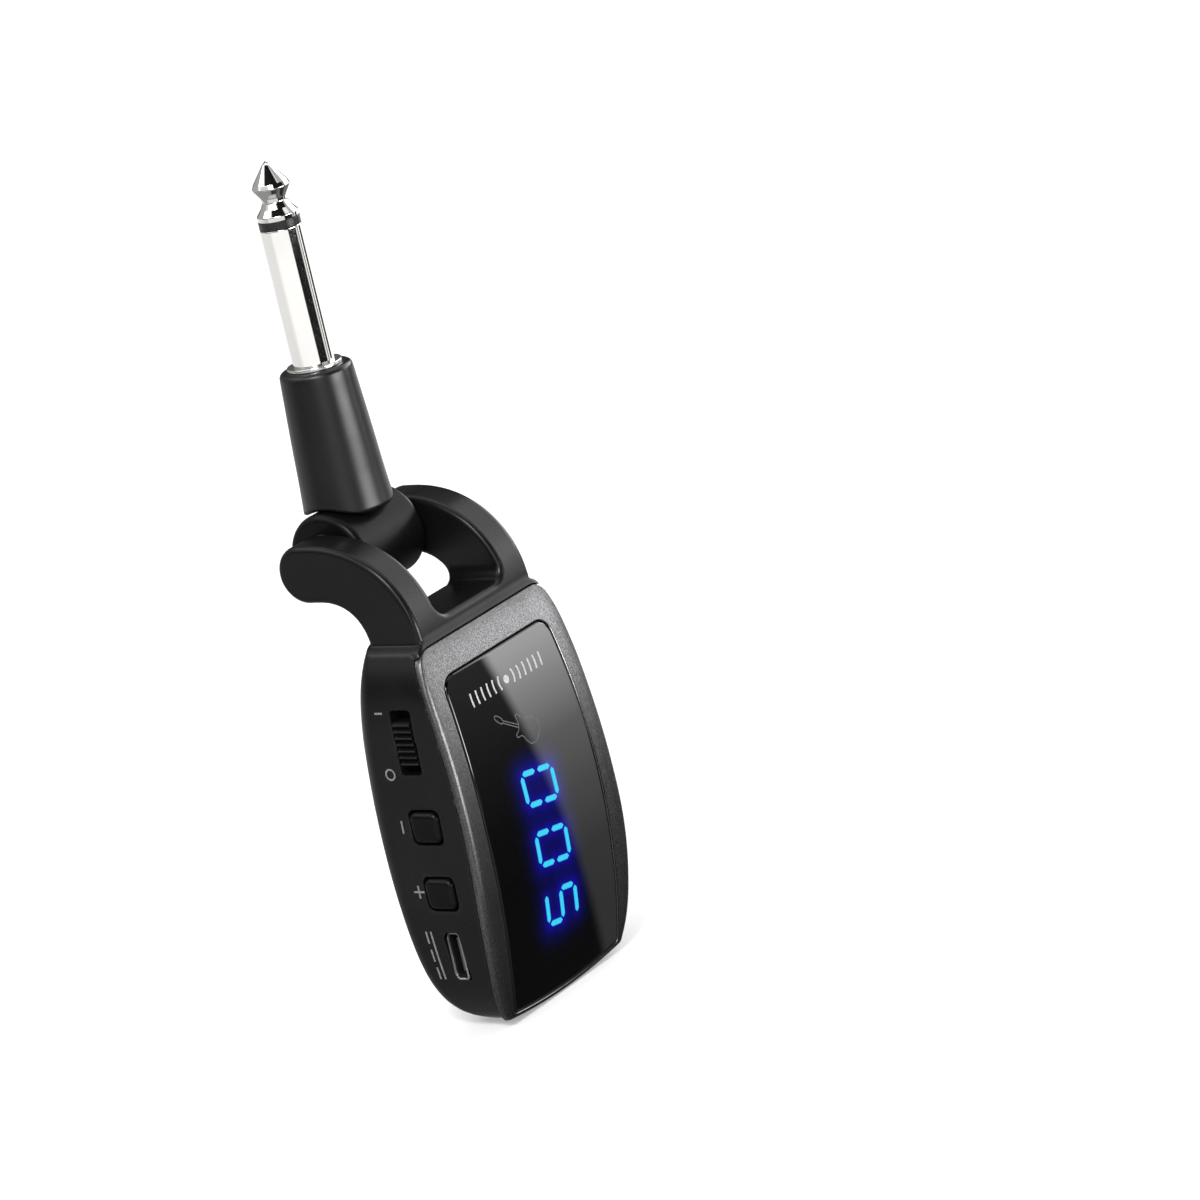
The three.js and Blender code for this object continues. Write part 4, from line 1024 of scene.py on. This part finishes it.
def make_signal_mark():
    """Radio waves either side of a dot."""
    centre, wave_half_height = (0.0, -11.4), 1.05
    parts = [strip(arc(centre, 0.32, 0, 360, 24), 0.62, on_window, 0.02)]
    for radius in (1.9, 3.3, 4.7, 6.1, 7.5, 8.9):
        reach = math.degrees(math.asin(wave_half_height / radius))
        for turn in (0, 180):
            parts.append(strip(arc(centre, radius, turn - reach, turn + reach, 20), 0.34, on_window, 0.02))
    marks("signal_mark", parts, INK_LIGHT, "print_grey")


def make_guitar_mark():
    """Plain outline of a guitar lying on its side."""
    body = smooth_path([
        (0.0, 0.42), (-0.4, 0.95), (-0.75, 1.5), (-0.25, 1.75), (0.5, 1.45), (1.3, 1.4), (2.4, 1.9),
        (3.7, 1.95), (4.6, 1.2), (4.9, 0.0), (4.5, -1.3), (3.4, -2.0), (2.2, -1.75), (1.3, -1.3),
        (0.7, -1.35), (0.15, -1.7), (-0.25, -1.35), (0.1, -0.8), (0.2, -0.35),
    ])
    neck_top, neck_foot = line((0.05, 0.25), (-3.6, 0.2), 6), line((0.15, -0.2), (-3.6, -0.15), 6)
    head = smooth_path([
        (-3.6, 0.2), (-3.95, 0.5), (-5.1, 0.65), (-5.45, 0.3), (-5.1, -0.05), (-3.95, -0.35), (-3.6, -0.15),
    ], False)
    turn = math.radians(-31)
    spin = np.array([[math.cos(turn), math.sin(turn)], [-math.sin(turn), math.cos(turn)]])
    place = np.array([-1.0, -18.5])
    paths = (body, neck_top, neck_foot, head)
    parts = [strip(path @ spin + place, 0.14, on_window, 0.015) for path in paths]
    marks("guitar_mark", parts, INK_DIM, "print_grey")


def make_side_marks():
    """On and off signs, minus, plus and the direct-current sign."""
    def draw(name, paths, width=0.3):
        marks(name, [strip(path, width, on_left_wall, 0.02) for path in paths], INK_GREY, "print_grey")

    draw("mark_on", [line((7.3, -9.9), (8.7, -9.9))])
    draw("mark_off", [arc((8.15, -19.4), 0.8, 0, 360, 36)], 0.27)
    draw("mark_minus", [line((8.0, -26.6), (8.0, -28.6))])
    draw("mark_plus", [line((7.5, -36.8), (7.5, -38.8)), line((6.5, -37.8), (8.5, -37.8))])
    dashes = [line((8.15, z), (8.15, z - 2.0)) for z in (-44.2, -47.2, -50.2)]
    draw("mark_current", [line((7.25, -44.2), (7.25, -52.2), 24), *dashes])


make_signal_mark()
make_guitar_mark()
make_side_marks()


# ------------------------------------------------------------------ controls and port
def wall_x(z):
    return -float(half_at(z))


def button_field(spec):
    """Crowned cap with a flange behind the wall."""
    height, depth, width, length = spec
    wall = wall_x(height)

    def field(x, y, z):
        crown = CROWN_DROP * ((y - depth) ** 2 + (z - height) ** 2) / CROWN_REACH**2
        cap = rectangle(
            y - depth, z - height, width / 2 - BUTTON_GAP, length / 2 - BUTTON_GAP, BUTTON_CORNER,
        )
        cap = meet(cap, wall - BUTTON_PROUD + crown - x, BUTTON_EDGE)
        cap = meet(cap, x - (wall + CAP_ROOT))
        flange = rectangle(y - depth - 0.05, z - height, *FLANGE_HALF, FLANGE_CORNER)
        flange = meet(flange, slab(x, wall + FLANGE_FROM, wall + FLANGE_TO), 0.1)
        return either(cap, flange, 0.1)

    return field


def make_button(name, spec, node, body):
    height, depth, _, _ = spec
    wall = wall_x(height)
    low = (wall - 0.9, depth - 3.5, height - 3.8)
    high = (wall + 3.5, depth + 3.6, height + 3.8)
    piece = contour(name, button_field(spec), low, high, 0.14)
    dress(piece, BUTTON_BLACK, body, "button_black", node)


make_button("minus_key_cap", MINUS, "minus_button", "minus_key")
make_button("plus_key_cap", PLUS, "plus_button", "plus_key")


def slider_field(x, y, z):
    """Ribbed thumb piece, the plate behind the wall and the stem into the switch."""
    wall, depth = wall_x(SWITCH[0]), SWITCH[1]
    pitch = SLIDER_LENGTH / RIBS
    ridge = 0.5 - 0.5 * np.cos(2 * math.pi * (SLIDER_Z + SLIDER_LENGTH / 2 - z) / pitch)
    skin = wall + RIB_FOOT - RIB_HEIGHT * np.clip(ridge, 0, 1) ** 0.7
    cap = rectangle(y - depth, z - SLIDER_Z, SWITCH[2] / 2 - 0.3, SLIDER_LENGTH / 2, 0.3)
    cap = meet(cap, (skin - x) * 0.6, 0.12)
    cap = np.maximum(cap, x - (wall + 2.7))
    plate = rectangle(y - depth, z - SLIDER_Z, *PLATE_HALF, 0.3)
    plate = np.maximum(plate, slab(x, wall + 2.65, wall + 3.2))
    stem = rectangle(y - depth, z - SLIDER_Z, *STEM_HALF, 0.2)
    stem = np.maximum(stem, slab(x, wall + 3.1, wall + 4.6))
    return either(either(cap, plate), stem)


def make_slider():
    wall, depth = wall_x(SWITCH[0]), SWITCH[1]
    low = (wall - 0.7, depth - 2.5, SLIDER_Z - 5.6)
    high = (wall + 5.0, depth + 2.5, SLIDER_Z + 5.6)
    slider = contour("switch_thumb", slider_field, low, high, 0.12)
    dress(slider, SLIDER_BLACK, "switch_knob", "slider_black", "switch_slider")


make_slider()


def make_port():
    """Stamped steel socket shell with a rolled lip, and the contact tongue inside it."""
    mouth = wall_x(PORT[0]) + 0.1
    outer, inner = port_field(0.0, 0.5), port_field(-0.42, 0.3)

    def shell(x, y, z):
        body = meet(outer(y, z), slab(x, mouth, mouth + 5.2), 0.2)
        flare = np.clip((mouth + 0.45 - x) / 0.45, 0, 1) ** 2 * 0.16
        return less(body, np.maximum(inner(y, z) - flare, x - (mouth + 4.9)), 0.05)

    def tongue(x, y, z):
        blade = rectangle(y - PORT[1] + 0.22, z - PORT[0], 0.33, 2.7, 0.1)
        blade = meet(blade, slab(x, mouth + 0.9, mouth + 4.4), 0.12)
        root = np.maximum(inner(y, z) + 0.06, slab(x, mouth + 4.15, mouth + 4.85))
        return either(blade, root)

    low, high = (mouth - 0.3, 2.0, -52.6), (mouth + 5.6, 5.4, -44.0)
    socket = contour("port_shell", shell, low, high, 0.1)
    dress(socket, PORT_STEEL, "pack", "port_steel", "usb_shell")
    contacts = contour("port_tongue", tongue, low, high, 0.11)
    dress(contacts, TONGUE_BLACK, "pack", "tongue_black", "usb_tongue")


make_port()


# ------------------------------------------------------------------ hinge barrel and collar
CHAMBER_RADIUS, CHAMBER_DEPTH = 2.45, 2.6           # room for the lead, down past the fold axis
# the collar's heights and radii
COLLAR_TAPER = (
    (15.0, 6.98), (16.5, 6.9), (18.5, 6.74), (20.5, 6.6),
    (22.4, 6.48), (28.0, 6.2), (37.0, 5.65), (38.6, 5.5),
)


def barrel_field(x, y, z):
    """Turning drum with its neck, bored for the lead and the pins."""
    radial = np.hypot(y - HINGE_Y, z - HINGE_Z)
    drum = meet(radial - BARREL_RADIUS, np.abs(x) - BARREL_HALF, 1.1)
    across = np.hypot(x, y - HINGE_Y)
    neck = np.maximum(across - NECK_RADIUS, slab(z, HINGE_Z, NECK_TOP))
    body = either(drum, neck, 0.3)
    chamber = np.maximum(across - CHAMBER_RADIUS, HINGE_Z - CHAMBER_DEPTH - z)
    return less(less(body, chamber), radial - PIN_RADIUS - SEAT_GAP)


def collar_field(x, y, z):
    """Tapered sleeve that sits on the drum."""
    across = np.hypot(x, y - HINGE_Y)
    outside = across - np.interp(z, *zip(*COLLAR_TAPER))
    body = meet(outside, z - COLLAR_TOP, 0.75)
    saddle = BARREL_RADIUS + 0.14 - np.hypot(y - HINGE_Y, z - HINGE_Z)
    body = meet(body, meet(saddle, COLLAR_FOOT - z, 1.6), 0.85)
    bore = np.where(z < NECK_TOP + 0.4, NECK_RADIUS, SHANK_RADIUS) + SEAT_GAP
    return less(body, across - bore, 0.08)


dress(
    contour("hinge_drum", barrel_field, (-8.6, 11.3, 2.7), (8.6, 27.1, 26.8), 0.3),
    HINGE_BLACK, "plug_arm", "hinge_black", "hinge_barrel",
)
dress(
    contour("collar_sleeve", collar_field, (-7.6, 11.6, 15.6), (7.6, 26.8, 39.4), 0.24),
    COLLAR_BLACK, "plug_arm", "collar_black", "plug_collar",
)


# ------------------------------------------------------------------ plug
def make_plug():
    """Shoulder, barrel, insulating ring and nose, each turned about the plug's axis."""
    bore = INSULATOR_RADIUS + SEAT_GAP
    flange_foot = COLLAR_TOP + SEAT_GAP
    dress(turned("plug_shoulder", [
        (PLUG_RADIUS + SEAT_GAP, flange_foot, 0), (4.2, flange_foot, 0.05), (4.2, flange_foot + 0.55, 0.2),
        (PLUG_RADIUS + SEAT_GAP, flange_foot + 0.55, 0.05),
    ]), SHOULDER_NICKEL, "plug_arm", "plug_nickel", "plug_flange")
    foot = NECK_TOP + 0.5
    dress(turned("plug_barrel", [
        (bore, foot, 0), (SHANK_RADIUS, foot, 0.1), (SHANK_RADIUS, COLLAR_TOP - 0.4, 0.1),
        (PLUG_RADIUS, COLLAR_TOP - 0.4, 0), (PLUG_RADIUS, RING_BOTTOM - SEAT_GAP, 0.14),
        (bore, RING_BOTTOM - SEAT_GAP, 0),
    ]), NICKEL, "plug_arm", "plug_nickel", "plug_sleeve")
    rod = ROD_RADIUS + SEAT_GAP
    dress(turned("plug_ring", [
        (rod, 24.6, 0), (INSULATOR_RADIUS, 24.6, 0.05), (INSULATOR_RADIUS, RING_BOTTOM, 0),
        (PLUG_RADIUS, RING_BOTTOM, 0.08), (PLUG_RADIUS, RING_TOP, 0.08), (rod, RING_TOP, 0),
    ]), RING_BLACK, "plug_arm", "ring_black", "plug_insulator")
    base, apex = RING_TOP + SEAT_GAP, COLLAR_TOP + PLUG_LENGTH
    dress(turned("plug_nose", [
        (rod, base, 0), (3.1, base, 0.06), (3.13, base + 0.75, 0.3), (2.35, base + 1.7, 0.35),
        (1.85, base + 2.6, 0.5), (1.9, base + 3.3, 0.4), (2.87, base + 4.8, 0.28), (2.6, base + 5.5, 0.3),
        (0.62, apex - 0.55, 0.5), (0, apex, 0),
        (0, apex - 3.4, 0), (rod, apex - 3.4, 0),
    ]), NICKEL, "plug_arm", "plug_nickel", "plug_tip")


make_plug()

# ------------------------------------------------------------------ carried-over CAD nodes
INNER = {
    "display_reflector": TONGUE_BLACK,
    "main_board": plastic("board_mask", (0.010, 0.075, 0.035), 0.3, 0.5),
    "battery_cell": metal("cell_foil", (0.62, 0.63, 0.65), 0.35),
    "battery_pad": plastic("pad_foam", (0.05, 0.05, 0.055), 0.9, 0.2, grain=900.0, relief=0.6),
    "radio_shield": metal("shield_tin", (0.66, 0.67, 0.68), 0.3),
    "antenna_chip": plastic("antenna_ceramic", (0.72, 0.72, 0.68), 0.5, 0.5),
    "cable_in_yoke": plastic("cable_skin", (0.04, 0.04, 0.045), 0.6, 0.4),
    "cable_in_barrel": plastic("cable_skin_fold", (0.04, 0.04, 0.045), 0.6, 0.4),
}
INNER_STEEL = metal("inner_steel", (0.5, 0.5, 0.51), 0.35)
INNER_BRASS = metal("inner_brass", (0.72, 0.56, 0.28), 0.3)
CHIP = plastic("chip_epoxy", (0.02, 0.02, 0.022), 0.55, 0.4)
WASHER = plastic("washer_fibre", (0.02, 0.02, 0.02), 0.6, 0.3)
BY_SLOT = {
    "inner_steel": INNER_STEEL, "inner_brass": INNER_BRASS, "chip_black": CHIP, "washer_black": WASHER,
}
SLOT_OF = {s["node"]: s["material_slot"] for s in frame["record"]["subparts"]}
for node_name, node in frame["nodes"].items():
    if node.hide_render:
        continue
    material = INNER.get(node_name) or BY_SLOT.get(SLOT_OF[node_name], CHIP)
    node.data.materials.clear()
    node.data.materials.append(material)


# ------------------------------------------------------------------ stage, light and camera
def make_floor():
    """Pale paper ground with a little light of its own, so that it stays even to the frame's edge."""
    half = 3.0
    mesh = bpy.data.meshes.new("floor")
    corners = [(-half, -half, 0), (half, -half, 0), (half, half, 0), (-half, half, 0)]
    mesh.from_pydata(corners, [], [(0, 1, 2, 3)])
    floor = bpy.data.objects.new("floor", mesh)
    bpy.context.scene.collection.objects.link(floor)
    material, tree, shader = nodes_of("floor_paper")
    share = spread(tree, noise(tree, 6.0), 0.0, 1.0)
    fill(
        tree, shader, Roughness=0.95, Specular_IOR_Level=0.0,
        Emission_Color=(1, 1, 1, 1), Emission_Strength=0.30,
        Base_Color=blend_colour(tree, share, (0.86, 0.86, 0.86), (0.84, 0.84, 0.845)),
    )
    mesh.materials.append(material)
    floor.visible_glossy = False


CAMERA_AZIMUTH = math.radians(51.784)      # from the front towards the controls
CAMERA_ELEVATION = math.radians(15.539)
CAMERA_ROLL = math.radians(13.171)
CAMERA_DISTANCE = 0.84375
LENS_MM, SENSOR_MM = 170.646, 36.0
AIM_OFFSET = Vector((0.01086, -0.0260, -0.007425))


def object_middle():
    low, high = (Vector(c) for c in CAD_BOX)
    return (low + high) / 2


def make_camera():
    """Long lens at the place of the camera, rolled so that the plug leans to the left."""
    back = Vector((
        -math.cos(CAMERA_ELEVATION) * math.sin(CAMERA_AZIMUTH),
        -math.cos(CAMERA_ELEVATION) * math.cos(CAMERA_AZIMUTH),
        math.sin(CAMERA_ELEVATION),
    ))
    right = Vector((math.cos(CAMERA_AZIMUTH), -math.sin(CAMERA_AZIMUTH), 0))
    up = back.cross(right)
    turned_right = right * math.cos(CAMERA_ROLL) - up * math.sin(CAMERA_ROLL)
    turned_up = up * math.cos(CAMERA_ROLL) + right * math.sin(CAMERA_ROLL)
    data = bpy.data.cameras.new("camera")
    data.lens, data.sensor_width = LENS_MM, SENSOR_MM
    data.clip_start, data.clip_end = 0.01, 20
    camera = bpy.data.objects.new("camera", data)
    matrix = Matrix((turned_right, turned_up, back)).transposed().to_4x4()
    matrix.translation = object_middle() + AIM_OFFSET + back * CAMERA_DISTANCE
    camera.matrix_world = matrix
    bpy.context.scene.collection.objects.link(camera)
    bpy.context.scene.camera = camera


# soft panels round the object, in degrees: azimuth from, softness, to, softness;
# elevation the same; then the strength
PANELS = (
    (-62, 14, 35, 1.5, -14.6, 1.0, -9.4, 1.2, 1.45),    # band of pale ground that the plug reflects
    (-200, 1, -62, 14, -14.6, 1.0, -9.4, 1.2, 1.10),
    (84, 3, 93, 3, -14.6, 1.0, -9.4, 1.2, 1.15),
    (126, 5, 200, 1, -14.6, 1.0, -9.4, 1.2, 1.9),
    (-62, 14, 35, 1.5, -30, 14, -14.6, 1.0, 1.00),      # ground nearer by, darker
    (-62, 14, 35, 1.5, -90, 1, -30, 14, 0.35),
    (-200, 1, -62, 14, -90, 1, -14.6, 1.0, 0.38),
    (126, 5, 200, 1, -90, 1, -14.6, 1.0, 0.22),
    (45, 12, 93, 3, -70, 8, -19, 3, 0.22),
    (-16, 9, 24, 6, -9.4, 1.2, 16, 6, 0.60),
    (-150, 8, -92, 9, -9.4, 1.2, 60, 8, 0.50),
    (-200, 1, -150, 8, -9.4, 1.2, 60, 8, 0.12),
    (-92, 9, -58, 3, 14, 6, 60, 8, 0.90),
    (-58, 3, -2, 3, 14, 6, 40, 4, 0.90),
    (-86, 7, -70, 7, 21, 6, 21, 6, 2.5),                # small soft spot on the shoulder
    (-3, 4, 13, 4, 4, 4, 44, 4, 5.0),                   # arch of light along the arms' edges
    (-112, 8, -6, 5, 40, 3, 47, 3, 5.0),
    (45, 6, 79, 6, -7.8, 1.2, 3, 5, 25.0),              # broad strip at the right of the camera
    (-200, 1, -58, 3, 50, 5, 76, 3, 1.20),              # overhead, with a dark card over the camera
    (68, 3, 200, 1, 50, 5, 76, 3, 1.20),
    (-200, 1, 200, 1, 76, 3, 100, 1, 1.20),
)
AMBIENT = 0.012
CAMERA_SIDE = -141.784                                  # world azimuth from which the camera looks
# large softbox at the right; its straight left edge is what splits the window's reflection
BOX_EDGE = (0.99965, 0.02626, 0.00060)
BOX_EDGE_AT, BOX_EDGE_SOFT = 0.72413, 0.0008
# its light, and the light beside it, as pairs of elevation and strength
BOX_LIGHT = (
    (-60, 0.06), (-40, 0.30), (-34, 0.42), (-30, 0.45), (-24, 0.6), (-18, 1.2), (-11.5, 2.1),
    (-6, 4.7), (-1.5, 7.3), (5, 9.0), (12, 8.0), (22, 5.0), (36, 3.0), (50, 1.2), (90, 0.6),
)
BESIDE_LIGHT = (
    (-60, 0.02), (-24, 0.03), (-18, 0.05), (-11.5, 0.14), (-6, 0.27), (-1.5, 0.38), (10, 0.6), (90, 0.6),
)
BESIDE_FROM, BESIDE_SOFT = 88, 5
BOX_FIRST, BOX_LAST, BOX_END_SOFT = 60, 152, 5          # the box's azimuths above BOX_WIDE_ABOVE
BOX_WIDE_ABOVE = 5
# below BOX_WIDE_ABOVE it ends sooner, and a little later again below BOX_END_LOW
BOX_END, BOX_END_MORE, BOX_END_LOW = 107, 11, -24


def make_world():
    """A studio of soft panels; the camera itself sees only a plain pale ground."""
    world = bpy.data.worlds.new("studio")
    world.use_nodes = True
    tree = world.node_tree
    tree.nodes.clear()

    def times(a, b):
        return maths(tree, "MULTIPLY", a, b)

    def plus(a, b):
        return maths(tree, "ADD", a, b)

    def rest_of(share):
        return maths(tree, "SUBTRACT", 1.0, share)

    def rise(value, at, soft):
        node = add(
            tree, "ShaderNodeMapRange", interpolation_type="SMOOTHSTEP",
            in_Value=value, in_From_Min=at - soft, in_From_Max=at + soft,
        )
        return node.outputs["Result"]

    def between(value, low, soft_low, high, soft_high):
        return times(rise(value, low, soft_low), rest_of(rise(value, high, soft_high)))

    def stepped(value, table):
        """Piecewise curve through (elevation, strength) pairs."""
        total = table[0][1]
        for (e0, v0), (e1, v1) in zip(table, table[1:]):
            total = plus(spread(tree, value, 0.0, v1 - v0, e0, e1), total)
        return total

    place = add(tree, "ShaderNodeTexCoord").outputs["Generated"]
    spin = add(
        tree, "ShaderNodeVectorRotate", rotation_type="Z_AXIS",
        in_Vector=place, in_Angle=math.radians(-CAMERA_SIDE),
    )
    split = add(tree, "ShaderNodeSeparateXYZ", in_Vector=spin.outputs["Vector"])
    azimuth = times(maths(tree, "ARCTAN2", split.outputs["Y"], split.outputs["X"]), 180 / math.pi)
    elevation = times(maths(tree, "ARCSINE", split.outputs["Z"]), 180 / math.pi)
    total = AMBIENT
    for *edges, strength in PANELS:
        panel = times(between(azimuth, *edges[:4]), between(elevation, *edges[4:]))
        total = plus(times(panel, strength), total)
    edge = add(tree, "ShaderNodeVectorMath", operation="DOT_PRODUCT")
    feed(tree, edge.inputs[0], place)
    feed(tree, edge.inputs[1], BOX_EDGE)
    in_box = rise(edge.outputs["Value"], BOX_EDGE_AT, BOX_EDGE_SOFT)
    low_end = plus(times(rest_of(rise(elevation, BOX_END_LOW, 8)), BOX_END_MORE), BOX_END)
    past_low_end = rise(maths(tree, "SUBTRACT", azimuth, low_end), 0, BOX_END_SOFT)
    beyond = times(past_low_end, rest_of(rise(elevation, BOX_WIDE_ABOVE, BOX_END_SOFT)))
    span = between(azimuth, BOX_FIRST, BOX_END_SOFT, BOX_LAST, BOX_END_SOFT)
    box = times(times(in_box, rest_of(beyond)), span)
    total = plus(times(box, stepped(elevation, BOX_LIGHT)), total)
    beside = times(rest_of(in_box), rise(azimuth, BESIDE_FROM, BESIDE_SOFT))
    total = plus(times(beside, stepped(elevation, BESIDE_LIGHT)), total)
    studio = add(tree, "ShaderNodeBackground", in_Strength=total)
    plain = add(tree, "ShaderNodeBackground", in_Color=(1, 1, 1, 1))
    mix = add(tree, "ShaderNodeMixShader", in_Fac=add(tree, "ShaderNodeLightPath").outputs["Is Camera Ray"])
    feed(tree, mix.inputs[1], studio.outputs[0])
    feed(tree, mix.inputs[2], plain.outputs[0])
    add(tree, "ShaderNodeOutputWorld", in_Surface=mix.outputs[0])
    bpy.context.scene.world = world


def area_light(name, azimuth, elevation, distance, size, power):
    """Soft square lamp at a place seen from the middle of the object; azimuth as in PANELS."""
    a, e = math.radians(azimuth + CAMERA_SIDE), math.radians(elevation)
    away = Vector((math.cos(e) * math.cos(a), math.cos(e) * math.sin(a), math.sin(e)))
    data = bpy.data.lights.new(name, "AREA")
    data.shape, data.size, data.size_y = "RECTANGLE", size, size
    data.energy = power
    lamp = bpy.data.objects.new(name, data)
    lamp.location = object_middle() + away * distance
    lamp.rotation_euler = away.to_track_quat("Z", "Y").to_euler()
    bpy.context.scene.collection.objects.link(lamp)


make_floor()
make_camera()
make_world()
area_light("key_lamp", -10, 43, 0.9, 0.24, 4.0)
bpy.context.scene.view_settings.view_transform = "Standard"
